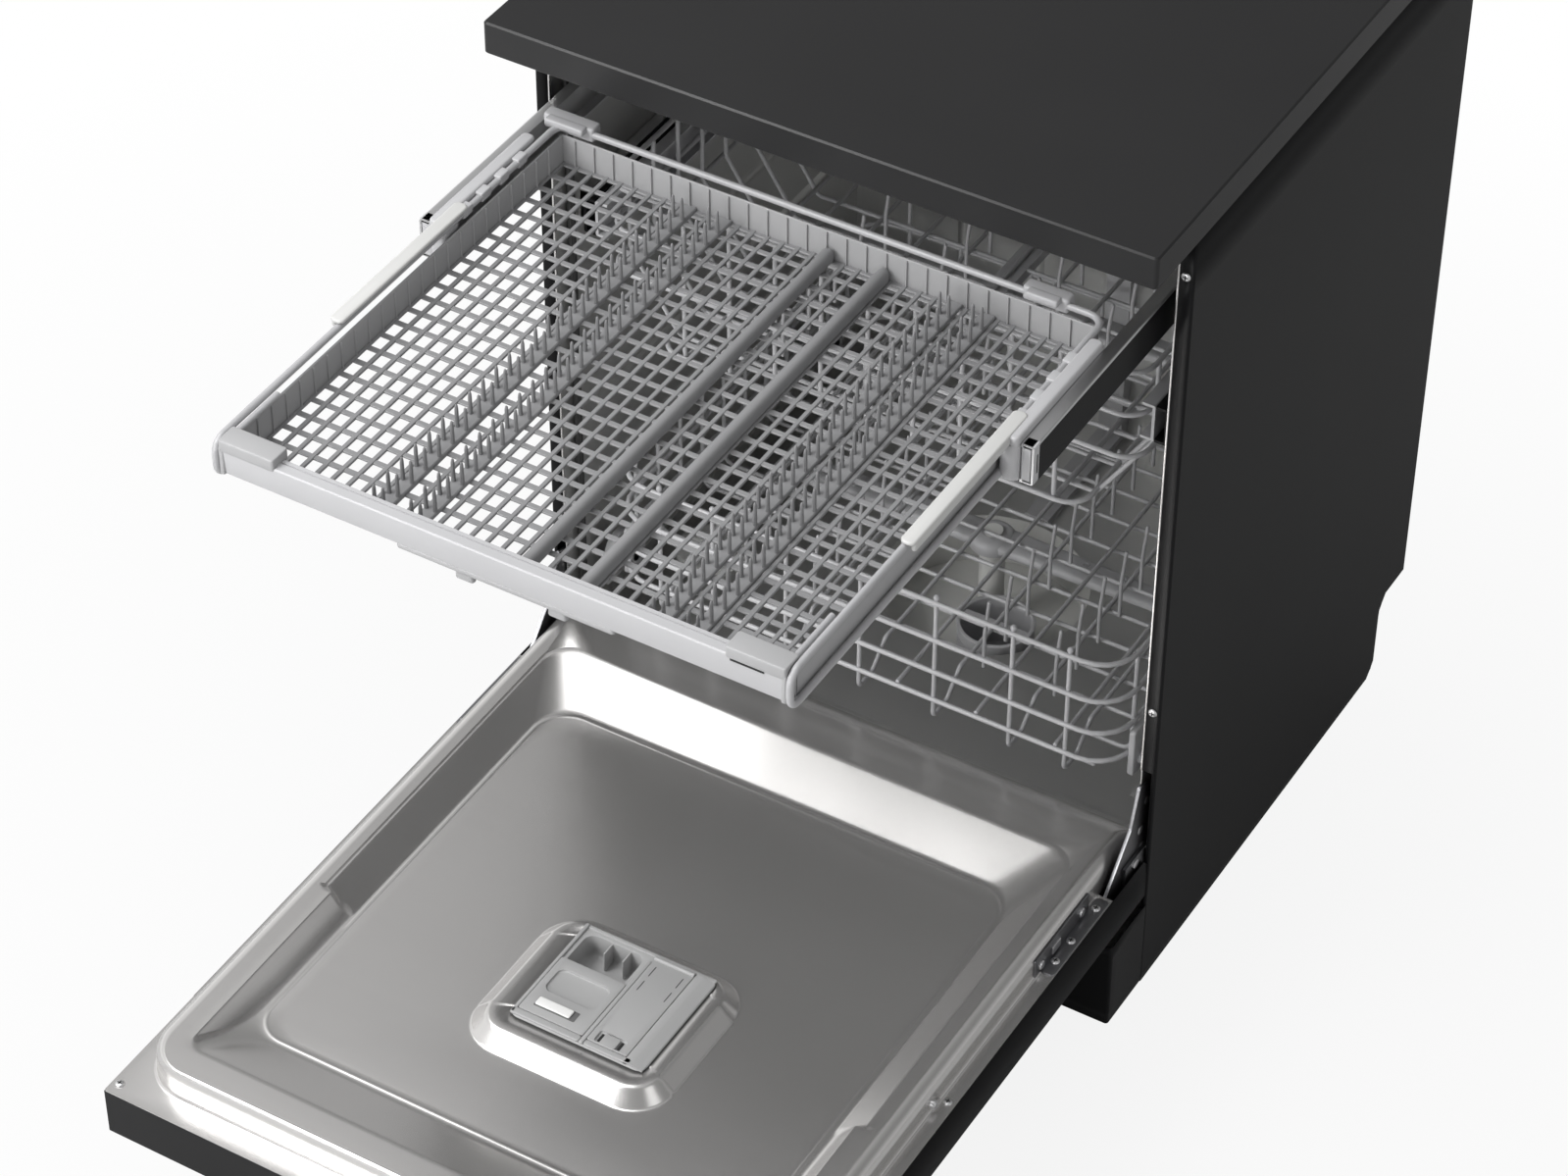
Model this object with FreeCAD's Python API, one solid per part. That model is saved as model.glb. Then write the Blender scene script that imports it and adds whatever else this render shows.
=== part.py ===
import FreeCAD, Part
import math
import os

# Freestanding dishwasher, door open and cutlery tray pulled out.
# Millimetres. +X is right, -Y is the front, +Z is up, and the floor is z = 0.

V = FreeCAD.Vector

# Cabinet
WIDTH = 600.0
HEIGHT = 845.0
DEPTH = 600.0
TOP_T = 30.0
TOP_CORNER = 4.0
SHEET = 1.0
TOP_OVERHANG = 1.0
PANEL_FRONT = 69.0
PANEL_REAR_GAP = 13.0
PANEL_BOTTOM = 15.0
RETURN_W = 12.0
REAR_RETURN_W = 18.0
RETURN_BOTTOM = 262.0
NOTCH_H = 89.0
NOTCH_D = 50.0
NOTCH_SLOPE = 12.0
NOTCH_R = 6.0
PLINTH_FRONT = 8.0
PLINTH_T = 1.5
PLINTH_BOTTOM = 17.0
PLINTH_GAP = 5.0
PAN_T = 2.0
PAN_FLOOR = 20.0
PAN_H = 42.0
FOOT_R = 22.0
FOOT_H = 10.0
FOOT_STEM_R = 6.0
FOOT_SIDE = 49.0
FOOT_FRONT = 60.0
FOOT_REAR_GAP = 87.0
SCREW_R = 4.0
SCREW_H = 2.0
DOOR_SCREW_RUNS = (102.0, 130.0, 312.0)

# Door and hinge
HINGE_Y = 50.0
HINGE_Z = 162.0
HINGE_PIN_R = 4.0
RUN_CLEAR = 0.05
DOOR_T = 48.0
DOOR_SIDE_GAP = 2.2
DOOR_TOP_GAP = 3.0
DOOR_TAIL = 48.0
FLANGE_ABOVE_HINGE = 5.0
FLANGE_FAR_GAP = 43.0
ARM_T = 3.0
ARM_GAP = 1.5
ARM_H = 90.0
ARM_BLADE = 120.0
ARM_DEPTH = 18.0
ARM_HEEL = 26.0
ARM_CREST = ((-2.0, 40.0), (10.0, 0.0), (24.0, 4.0), (38.0, 31.0))
CHEEK_FALL = 12.0
BRACKET_T = 3.0
BRACKET_GAP = 0.5
BRACKET_REAR = 100.0
BRACKET_H = 16.0
SPRING_CLEAR = 1.0
SPRING_L = 190.0

# Inner door
RIM_H = 29.0
RIM_GAP = 2.5
RIM_NEAR = 23.0
RIM_CORNER = 45.0
LAND_SIDE = 19.5
LAND_NEAR = 27.0
BASIN_D = 20.0
BASIN_SIDE = 26.0
BASIN_NEAR = 57.0
BASIN_FAR = 95.0
SLOPE_FAR = 35.0
BASIN_CORNER = 40.0
LAND_CORNER = 30.0
DOME_H = 14.0
DOME_X = 8.0
DOME_NEAR = 270.0
DOME_W = 177.0
DOME_L = 155.0
DOME_SIDE = 15.0
DOME_CORNER = 38.0

# Dispenser
DISP_X = 12.0
DISP_NEAR = 278.0
DISP_W = 128.0
DISP_L = 118.0
DISP_EDGE = 5.0
DISP_FLANGE = 2.0
DISP_DEPTH = 34.0
DISP_CLEAR = 0.3
CHAMBER_W = 55.0
CHAMBER_L = 60.0
CHAMBER_D = 24.0
CHAMBER_EDGE = 3.0
LID_T = 2.6
LID_GAP = 0.2
LID_W = 62.0
LID_L = 66.0
SLIDER_W = 33.0
SLIDER_L = 9.0
SLIDER_SHIFT = 4.3
SLIDER_T = 1.8
RINSE_W = 38.0
RINSE_SIDE = 12.0
RINSE_L = 104.0
RINSE_PIN_R = 1.2
RINSE_KNUCKLE_R = 2.3
EAR_T = 2.0

# Fascia
FASCIA_L = 122.0
FASCIA_T = 3.0
FASCIA_WALL = 2.0
SEAM = 0.2
POCKET_W = 170.0
POCKET_L = 38.0
POCKET_D = 22.0
POCKET_EDGE = 10.0
BUTTON_R = 7.0
BUTTON_CLEAR = 0.15
BUTTON_PROUD = 1.2
BUTTON_FLANGE_R = 9.5
BUTTON_FLANGE_T = 1.6
BUTTON_STEM_R = 3.0
BUTTON_STEM_H = 2.0
BUTTON_ROW = 80.0
POWER_EDGE = 61.8
PROGRAM_EDGE = 106.8
START_EDGE = 61.8
DISPLAY_W = 120.0
DISPLAY_L = 30.0
DISPLAY_T = 2.0
DISPLAY_CLEAR = 0.1
MODULE_EDGE = 46.8
MODULE_L = 50.0
MODULE_T = 6.0
MODULE_H = 8.5
BOSS_R = 4.0
BOSS_EDGE = 146.8
LATCH_W = 48.0
LATCH_D = 20.0
LATCH_WALL = 3.0
STRIKE_W = 20.0
STRIKE_T = 3.0
STRIKE_REACH = 13.0
STRIKE_ABOVE_TUB = 4.0
LATCH_PLAY = 3.5

# Tub
TUB_WALL_GAP = 12.0
TUB_FLOOR = 150.0
TUB_HEAD = 17.0
TUB_REAR_GAP = 7.0
SILL_GAP = 4.0
SILL_RISE = 13.0
SILL_RUN = 24.0
LEDGE_W = 23.0
LEDGE_SET = 16.0
LEDGE_REAR_GAP = 18.0
SEAL_W = 7.5
SEAL_L = 8.0
SEAL_GAP = 1.0
SILL_SEAL_GAP = 0.4
BAR_FRONT = 86.0
BAR_L = 44.0

# Water circuit
SUMP_Y = 320.0
SUMP_R = 100.0
SUMP_T = 3.0
SUMP_D = 57.0
SUMP_FLANGE = 12.0
ARM_Y = 335.0
POST_R = 12.0
POST_TOP = 186.0
PIN_R = 6.0
PIN_HEAD_R = 9.0
PIN_HEAD_H = 2.0
ARM_PLAY = 1.0
SPRAY_T = 14.0
SPRAY_HUB_R = 22.0
SPRAY_TIP_R = 12.0
SPRAY_GAP = 75.0
FILTER_R = 36.0
FILTER_X = 35.0
FILTER_Y = 280.0
FILTER_PROUD = 2.0
PUMP_R = 32.0
PUMP_L = 130.0
PUMP_Z = 115.0
SPIGOT_R = 20.0
SPIGOT_L = 18.0
DRAIN_R = 26.0
DRAIN_GAP = 10.0
DRAIN_Z = 105.0
DRAIN_SPIGOT_R = 14.0
OUTLET_R = 9.5
OUTLET_BORE_R = 7.5
OUTLET_DROP = 21.0
NOZZLE_R = 10.5
NOZZLE_L = 38.0
OUTLET_INSET = 2.0
SOFT_W = 99.0
SOFT_L = 250.0
SOFT_H = 120.0
SOFT_Y = 150.0
SOFT_SIDE = 2.0
NECK_R = 30.0
NECK_CLEAR = 0.2
NECK_Y = 80.0
CAP_R = 33.0
CAP_H = 13.0
CAP_GRIP_HALF = 23.0
CAP_GRIP_T = 8.0
VALVE_EDGE = 89.0
VALVE_W = 40.0
VALVE_L = 38.0
VALVE_H = 60.0
PORT_R = 13.2
PORT_L = 20.0
PORT_CLEAR = 10.0
GLAND_X = -60.0
GLAND_R = 14.0
GLAND_NOSE_R = 9.1
GLAND_BORE_R = 4.0
GLAND_HOLE_CLEAR = 3.0
GLAND_L = 12.0
GLAND_Z = 40.0
AIR_L = 170.0
AIR_H = 360.0
AIR_Y = 250.0
AIR_Z = 200.0
AIR_CLEAR = 0.5
DUCT_W = 24.0
DUCT_T = 14.0
CEILING_DROP = 5.0
FEED_W = 20.0
FEED_T = 10.0
FEED_GAP = 0.5

# Slides
RAIL_GAP = 0.4
RAIL_T = 11.0
MID_T = 11.2
RUNNER_T = 9.6
RAIL_H = 36.0
RAIL_LIP = 7.0
RAIL_SET = 21.0
RAIL_REAR_GAP = 13.0

# Cutlery tray
TRAY_SIDE = 5.4
TRAY_FRONT = -441.0
TRAY_REAR = 27.0
TRAY_DROP = 48.0
TRAY_RAIL_DROP = 3.0
TRAY_ROD_R = 3.0
TRAY_LOOP = 33.0
TRAY_BEND = 12.0
TRAY_CLEAR = 0.5
TRAY_FLOOR_T = 2.0
TRAY_WALL_T = 2.0
TRAY_WALL_H = 26.0
TRAY_COLUMNS = 26
TRAY_ROWS = 11
TRAY_BAR = 3.0
COMB_TOOTH = 4.0
COMB_SHOULDER = 1.0
COMB_PLACES = (-0.497, -0.361, 0.497, 0.616)
COMB_PITCH = 16.0
COMB_H = 20.0
COMB_BASE = 5.0
COMB_T = 3.0
RIDGE_PLACES = (0.033, 0.238)
RIDGE_W = 10.0
RIDGE_H = 13.0
FRONT_BAR_L = 14.0
FRONT_BAR_H = 25.0
CLIP_L = 13.0
CLIP_H = 13.0
CLIP_LEFT_RUN = (-15.0, 33.0)
CLIP_RIGHT_RUN = (-71.0, -31.0)
HANDLE_W = 17.0
HANDLE_T = 3.5
HANDLE_SKIRT = 5.0
HANDLE_Y = (-283.0, -109.0)
TRAY_RUNNER_NOSE = 5.0
TRAY_RUNNER_REAR_GAP = 36.0
TRAY_MID_FRONT = -135.0
TRAY_MID_L = 430.0
LUG_L = 24.0

# Racks
WIRE = 4.0
RACK_COLUMNS = 14
RACK_ROWS = 12
RACK_TIERS = 3
APRON_TIERS = 2
UPPER_SIDE = 2.4
UPPER_SLOPE = 50.0
UPPER_SET = 11.0
UPPER_REAR_GAP = 33.0
UPPER_DROP = 148.0
UPPER_SIDE_H = 90.0
UPPER_SLOPE_H = 70.0
UPPER_RAIL_DROP = 45.0
UPPER_RUNNER_CUT = 14.0
LOWER_SIDE = 35.0
LOWER_SET = 7.0
LOWER_REAR_GAP = 45.0
LOWER_RISE = 28.0
LOWER_H = 113.0
LOWER_FOOT_RISE = 4.0
LOWER_FOOT_L = 28.0
LOWER_FOOT_PITCH = 77.0
JOINT_GAP = 0.2
WHEEL_R = 18.0
WHEEL_T = 9.0
WHEEL_BORE = 4.0
WHEEL_GAP = 0.5
WHEEL_GROOVE_R = 12.6
WHEEL_GROOVE_D = 2.25
WHEEL_HUB_R = 7.2
WHEEL_FRONT_SET = 39.0
WHEEL_REAR_SET = 53.0
WHEEL_OUT = 16.0
AXLE_END = 1.0
CARRIER_L = 28.0
CARRIER_H = 30.0
CARRIER_T = 6.0
CARRIER_BOSS_R = 6.4

# Places worked out from the sizes above
TOP_UNDER = HEIGHT - TOP_T
PANEL_OUT = WIDTH / 2 - TOP_OVERHANG
PANEL_IN = PANEL_OUT - SHEET
PANEL_REAR = DEPTH - PANEL_REAR_GAP
FOOT_X = PANEL_OUT - FOOT_SIDE
FOOT_REAR = PANEL_REAR - FOOT_REAR_GAP
DOOR_HALF = PANEL_OUT - DOOR_SIDE_GAP
DOOR_REACH = TOP_UNDER - DOOR_TOP_GAP - HINGE_Z - HINGE_Y
FRONT_SHIFT = (DOOR_REACH - DEPTH) / 2
FLANGE_Z = HINGE_Z + FLANGE_ABOVE_HINGE
DOOR_UNDER = FLANGE_Z - DOOR_T
TUB_OUT = PANEL_IN - TUB_WALL_GAP
TUB_IN = TUB_OUT - SHEET
TUB_TOP = TOP_UNDER - TUB_HEAD
TUB_REAR = PANEL_REAR - TUB_REAR_GAP - 2 * SHEET
RIM_HALF = TUB_IN - RIM_GAP
RIM_TOP = FLANGE_Z + RIM_H
LIP_R = RIM_TOP - HINGE_Z
LIP_FRONT = HINGE_Y + LIP_R
SILL_Y = LIP_FRONT + SILL_GAP
SILL_Z = TUB_FLOOR + SILL_RISE
BASIN_FLOOR = RIM_TOP - BASIN_D
PLINTH_TOP = HINGE_Z - DOOR_TAIL - PLINTH_GAP
ARM_X = TUB_OUT + ARM_GAP
BRACKET_X = ARM_X + ARM_T + BRACKET_GAP
RAIL_X = TUB_IN - RAIL_T
MID_X = RAIL_X - RAIL_GAP - MID_T
RUNNER_X = MID_X - RAIL_GAP - RUNNER_T
RAIL_FRONT = LIP_FRONT + RAIL_SET
RAIL_L = TUB_REAR - RAIL_REAR_GAP - RAIL_FRONT
LEDGE_FRONT = LIP_FRONT + LEDGE_SET
LEDGE_REAR = TUB_REAR - LEDGE_REAR_GAP
SPRAY_REACH = TUB_IN - SPRAY_GAP
VALVE_X = PANEL_OUT - VALVE_EDGE
DRAIN_L = TUB_OUT - SOFT_SIDE - SOFT_W - DRAIN_GAP - SUMP_R - SPIGOT_L
BOSS_X = DOOR_HALF - BOSS_EDGE
POWER_X = POWER_EDGE - DOOR_HALF
PROGRAM_X = PROGRAM_EDGE - DOOR_HALF
START_X = DOOR_HALF - START_EDGE
TRAY_HALF = RUNNER_X - TRAY_SIDE
TRAY_Z = TUB_TOP - TRAY_DROP
TRAY_LOW_ROD = TRAY_Z - TRAY_LOOP
TRAY_RAIL_Z = TRAY_Z - TRAY_LOOP / 2 - TRAY_RAIL_DROP
DOME_TOP = BASIN_FLOOR + DOME_H
DISP_TOP = DOME_TOP + DISP_FLANGE
DOME_Y = DOME_NEAR - DOOR_REACH
DISP_Y = DISP_NEAR - DOOR_REACH
UPPER_HALF = RUNNER_X - UPPER_SIDE
UPPER_FLOOR_HALF = UPPER_HALF - UPPER_SLOPE
UPPER_FRONT = LIP_FRONT + UPPER_SET
UPPER_L = TUB_REAR - UPPER_REAR_GAP - UPPER_FRONT
UPPER_RUNNER_L = UPPER_L - UPPER_RUNNER_CUT
UPPER_TOP = TUB_TOP - UPPER_DROP
UPPER_SHOULDER = UPPER_TOP - UPPER_SIDE_H
UPPER_FLOOR = UPPER_SHOULDER - UPPER_SLOPE_H
UPPER_RAIL_Z = UPPER_TOP - UPPER_RAIL_DROP
LOWER_HALF = TUB_IN - LOWER_SIDE
LOWER_FRONT = LIP_FRONT + LOWER_SET
LOWER_L = TUB_REAR - LOWER_REAR_GAP - LOWER_FRONT
LOWER_FLOOR = RIM_TOP + LOWER_RISE
LOWER_TOP = LOWER_FLOOR + LOWER_H
LOWER_FOOT = RIM_TOP + LOWER_FOOT_RISE
WHEEL_Y = (LOWER_FRONT + WHEEL_FRONT_SET, LOWER_FRONT + LOWER_L - WHEEL_REAR_SET)


def block(x, y, z):
    """Box between the low and high value of each axis."""
    return Part.makeBox(x[1] - x[0], y[1] - y[0], z[1] - z[0], V(x[0], y[0], z[0]))


def rod(start, end, radius):
    """Round bar between two points."""
    a = V(*start)
    run = V(*end) - a
    return Part.makeCylinder(radius, run.Length, a, run)


def prism(points, plane, low, high):
    """Polygon of in-plane points carried along the third axis from low to high."""
    lift = {
        "yz": lambda p: V(low, p[0], p[1]),
        "xz": lambda p: V(p[0], low, p[1]),
        "xy": lambda p: V(p[0], p[1], low),
    }
    along = {"yz": V(1, 0, 0), "xz": V(0, 1, 0), "xy": V(0, 0, 1)}
    corners = [lift[plane](p) for p in points]
    outline = Part.makePolygon(corners + corners[:1])
    return Part.Face(outline).extrude(along[plane] * (high - low))


def mirrored(shape):
    """The same piece on the other side of the machine."""
    return shape.mirror(V(0, 0, 0), V(1, 0, 0))


def pair(shape):
    """A piece and its mirror image."""
    return [shape, mirrored(shape)]


def joined(shapes):
    """One solid from overlapping or touching pieces."""
    return shapes[0].multiFuse(shapes[1:]).removeSplitter()


def rounded_outline(x, y, z, radius):
    """Closed rectangle with round corners at height z."""
    (x0, x1), (y0, y1) = x, y
    lean = radius * (1 - math.sqrt(0.5))
    corners = [
        (V(x1 - radius, y0, z), V(x1 - lean, y0 + lean, z), V(x1, y0 + radius, z)),
        (V(x1, y1 - radius, z), V(x1 - lean, y1 - lean, z), V(x1 - radius, y1, z)),
        (V(x0 + radius, y1, z), V(x0 + lean, y1 - lean, z), V(x0, y1 - radius, z)),
        (V(x0, y0 + radius, z), V(x0 + lean, y0 + lean, z), V(x0 + radius, y0, z)),
    ]
    edges = []
    for here, after in zip(corners, corners[1:] + corners[:1]):
        edges.append(Part.Arc(*here).toShape())
        edges.append(Part.makeLine(here[2], after[0]))
    return Part.Wire(edges)


def rounded_block(x, y, z, radius):
    """Box with round upright edges."""
    return Part.Face(rounded_outline(x, y, z[0], radius)).extrude(V(0, 0, z[1] - z[0]))


def tapered_block(low, high):
    """Straight loft between two rounded outlines, each given as x, y, z, radius."""
    return Part.makeLoft([rounded_outline(*low), rounded_outline(*high)], True, True)


def bent_rod(points, bend, radius):
    """Round rod along straight runs joined by tangent arcs, one bend radius for each corner."""
    places = [V(*p) for p in points]
    edges = []
    start = places[0]
    for before, corner, after, turn_radius in zip(places, places[1:], places[2:], bend):
        into = (corner - before).normalize()
        out = (after - corner).normalize()
        turn = into.getAngle(out)
        setback = turn_radius * math.tan(turn / 2)
        first = corner - into * setback
        last = corner + out * setback
        inward = (out - into).normalize()
        middle = corner + inward * (turn_radius / math.cos(turn / 2) - turn_radius)
        if (first - start).Length > RUN_CLEAR:
            edges.append(Part.makeLine(start, first))
        edges.append(Part.Arc(first, middle, last).toShape())
        start = last
    edges.append(Part.makeLine(start, places[-1]))
    ring = Part.Wire(Part.makeCircle(radius, places[0], places[1] - places[0]))
    return Part.Wire(edges).makePipeShell([ring], True, False)


def grille(corner, across, up, columns, rows, bar, depth):
    """Flat grille: a rectangle from a corner, with columns by rows of gaps, carried forward by its depth."""
    start = V(*corner)
    u = V(*across)
    v = V(*up)
    wide = u.Length
    tall = v.Length
    u_dir = V(u).normalize()
    v_dir = V(v).normalize()

    def loop(a0, a1, b0, b1):
        places = [start + u_dir * a + v_dir * b for a, b in ((a0, b0), (a1, b0), (a1, b1), (a0, b1))]
        return Part.makePolygon(places + places[:1])

    step_u = (wide - bar) / columns
    step_v = (tall - bar) / rows
    loops = [loop(0, wide, 0, tall)]
    for i in range(columns):
        for j in range(rows):
            loops.append(loop(bar + i * step_u, (i + 1) * step_u, bar + j * step_v, (j + 1) * step_v))
    face = Part.makeFace(loops, "Part::FaceMakerBullseye")
    return face.extrude(u_dir.cross(v_dir) * depth)


def comb(x, y, z):
    """Row of upright teeth on a low base, along Y."""
    teeth = int((y[1] - y[0] - COMB_TOOTH) // COMB_PITCH) + 1
    outline = [(y[0], z)]
    outline.append((y[0], z + COMB_BASE))
    for i in range(teeth):
        here = y[0] + i * COMB_PITCH
        outline.append((here + COMB_SHOULDER, z + COMB_BASE))
        outline.append((here + COMB_SHOULDER, z + COMB_H))
        outline.append((here + COMB_TOOTH, z + COMB_H))
        outline.append((here + COMB_TOOTH, z + COMB_BASE))
    outline.append((y[1], z + COMB_BASE))
    outline.append((y[1], z))
    return prism(outline, "yz", x, x + COMB_T)


def channel(x, y, z):
    """Rail: a C-shaped strip, open towards the middle of the machine."""
    solid = block(x, y, z)
    wall = (x[1] - x[0]) / 3
    groove = block((x[0] - wall, x[1] - wall), (y[0] - wall, y[1] + wall), (z[0] + RAIL_LIP, z[1] - RAIL_LIP))
    return solid.cut(groove)


def spray_arm(centre, low):
    """Two tapering blades on a round hub, with a bore for its pin."""
    x, y = centre
    slope = (SPRAY_HUB_R - SPRAY_TIP_R) / 2
    half = SPRAY_TIP_R + slope
    reach = SPRAY_REACH - SPRAY_TIP_R
    outline = [
        (x - reach, y - SPRAY_TIP_R), (x, y - half), (x + reach, y - SPRAY_TIP_R),
        (x + reach, y + SPRAY_TIP_R), (x, y + half), (x - reach, y + SPRAY_TIP_R),
    ]
    top = low + SPRAY_T
    pieces = [prism(outline, "xy", low, top), rod((x, y, low), (x, y, top), SPRAY_HUB_R)]
    for end in (x - reach, x + reach):
        pieces.append(rod((end, y, low), (end, y, top), SPRAY_TIP_R))
    return joined(pieces).cut(rod((x, y, low), (x, y, top), PIN_R + RUN_CLEAR))


def worktop():
    """Slab with rounded upright edges."""
    return [rounded_block((-WIDTH / 2, WIDTH / 2), (0, DEPTH), (TOP_UNDER, HEIGHT), TOP_CORNER)]


def side_panel():
    """Right side sheet with a notch at the lower rear and folded front and rear edges."""
    notch_y = PANEL_REAR - NOTCH_D
    notch_z = PANEL_BOTTOM + NOTCH_H
    outline = [
        (PANEL_FRONT, PANEL_BOTTOM),
        (notch_y - NOTCH_SLOPE, PANEL_BOTTOM),
        (notch_y, PANEL_BOTTOM + NOTCH_SLOPE),
        (notch_y, notch_z - NOTCH_SLOPE),
        (notch_y + NOTCH_SLOPE, notch_z),
        (PANEL_REAR, notch_z),
        (PANEL_REAR, TOP_UNDER),
        (PANEL_FRONT, TOP_UNDER),
    ]
    sheet = prism(outline, "yz", PANEL_IN, PANEL_OUT)
    rounded = []
    for edge in sheet.Edges:
        centre = edge.CenterOfMass
        inside = PANEL_BOTTOM + RUN_CLEAR < centre.z < notch_z - RUN_CLEAR
        if edge.Length < 2 * SHEET and inside:
            rounded.append(edge)
    sheet = sheet.makeFillet(NOTCH_R, rounded)
    front_y = (PANEL_FRONT, PANEL_FRONT + SHEET)
    rear_y = (PANEL_REAR - SHEET, PANEL_REAR)
    front = block((PANEL_IN - RETURN_W, PANEL_IN), front_y, (RETURN_BOTTOM, TOP_UNDER))
    rear = block((PANEL_IN - REAR_RETURN_W, PANEL_IN), rear_y, (notch_z, TOP_UNDER))
    return joined([sheet, front, rear])


def rear_panel():
    """Flat sheet held inside the folded rear edges."""
    half = PANEL_IN - REAR_RETURN_W / 2
    rear = PANEL_REAR - SHEET
    return [block((-half, half), (rear - SHEET, rear), (PANEL_BOTTOM + NOTCH_H, TOP_UNDER - SHEET))]


def base_pan():
    """Open tray between the side panels, with holes in its rear wall for the port and the lead."""
    front = PLINTH_FRONT + PLINTH_T
    rear = PANEL_REAR - NOTCH_D - PAN_T
    top = PAN_FLOOR + PAN_H
    half = PANEL_OUT - PLINTH_T
    outside = block((-half, half), (front, rear), (PAN_FLOOR - PAN_T, top))
    inside = block((PAN_T - half, half - PAN_T), (front + PAN_T, rear - PAN_T), (PAN_FLOOR, top))
    port = rod((VALVE_X, rear - PAN_T, port_height()), (VALVE_X, rear, port_height()), PORT_R + PORT_CLEAR)
    lead_r = GLAND_BORE_R + GLAND_HOLE_CLEAR
    lead = rod((GLAND_X, rear - PAN_T, GLAND_Z), (GLAND_X, rear, GLAND_Z), lead_r)
    return [outside.cut(inside).cut(port).cut(lead)]


def port_height():
    """Height of the water inlet's axis."""
    return PAN_FLOOR + VALVE_H / 2 - PORT_R / 2


def plinth():
    """Front skirt with two returns that meet the side panels."""
    outside = block((-PANEL_OUT, PANEL_OUT), (PLINTH_FRONT, PANEL_FRONT), (PLINTH_BOTTOM, PLINTH_TOP))
    half = PANEL_OUT - PLINTH_T
    inside = block((-half, half), (PLINTH_FRONT + PLINTH_T, PANEL_FRONT), (PLINTH_BOTTOM, PLINTH_TOP))
    return [outside.cut(inside)]


def levelling_feet():
    """Four discs on screwed stems under the base pan."""
    feet = []
    for y in (FOOT_FRONT, FOOT_REAR):
        disc = rod((FOOT_X, y, 0), (FOOT_X, y, FOOT_H), FOOT_R)
        stem = rod((FOOT_X, y, FOOT_H), (FOOT_X, y, PAN_FLOOR - PAN_T), FOOT_STEM_R)
        feet += pair(joined([disc, stem]))
    return feet


def neck_place():
    """Centre of the softener's neck in the tub floor."""
    return -TUB_OUT + SOFT_SIDE + SOFT_W / 2, SOFT_Y + NECK_Y


def tub():
    """Steel box open at the front, with a raised sill, side ledges for the wheels and two floor holes."""
    rear = TUB_REAR
    outside = block((-TUB_OUT, TUB_OUT), (PANEL_FRONT + SHEET, rear), (TUB_FLOOR - SHEET, TUB_TOP))
    inside = block((-TUB_IN, TUB_IN), (PANEL_FRONT, rear - SHEET), (TUB_FLOOR, TUB_TOP - SHEET))
    shell = outside.cut(inside)
    shell = shell.cut(block((-TUB_OUT, TUB_OUT), (PANEL_FRONT, SILL_Y), (TUB_FLOOR - SHEET, SILL_Z)))
    sill = [
        (SILL_Y, TUB_FLOOR - SHEET),
        (SILL_Y + SILL_RUN, TUB_FLOOR - SHEET),
        (SILL_Y + SILL_RUN, TUB_FLOOR),
        (SILL_Y + SHEET, SILL_Z),
        (SILL_Y, SILL_Z),
    ]
    pieces = [shell, prism(sill, "yz", -TUB_OUT, TUB_OUT)]
    pieces += pair(block((TUB_IN - LEDGE_W, TUB_IN), (LEDGE_FRONT, LEDGE_REAR), (RIM_TOP - SHEET, RIM_TOP)))
    mouth_y = (PANEL_FRONT + SHEET, PANEL_FRONT + 2 * SHEET)
    pieces += pair(block((TUB_OUT, PANEL_IN - SHEET), mouth_y, (RETURN_BOTTOM, TUB_TOP)))
    whole = joined(pieces)
    drop = TUB_FLOOR - 2 * SHEET
    whole = whole.cut(rod((0, SUMP_Y, drop), (0, SUMP_Y, TUB_FLOOR), SUMP_R - SUMP_T))
    x, y = neck_place()
    return [whole.cut(rod((x, y, drop), (x, y, TUB_FLOOR), NECK_R + NECK_CLEAR))]


def front_frame():
    """Cross bar between the side panels, under the worktop and on the tub."""
    return [block((-PANEL_IN, PANEL_IN), (BAR_FRONT, BAR_FRONT + BAR_L), (TUB_TOP, TOP_UNDER))]


def door_seal():
    """Strip round the mouth's sides and top, and a sill strip of its own."""
    front = LIP_FRONT + SEAL_GAP
    y = (front, front + SEAL_L)
    ceiling = TUB_TOP - SHEET
    outside = block((-TUB_IN, TUB_IN), y, (SILL_Z + SEAL_GAP, ceiling))
    inside = block((SEAL_W - TUB_IN, TUB_IN - SEAL_W), y, (SILL_Z + SEAL_GAP, ceiling - SEAL_W))
    sill = block((-TUB_IN, TUB_IN), (LIP_FRONT + SILL_SEAL_GAP, SILL_Y), (TUB_FLOOR - SHEET, SILL_Z))
    return [outside.cut(inside), sill]


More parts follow.
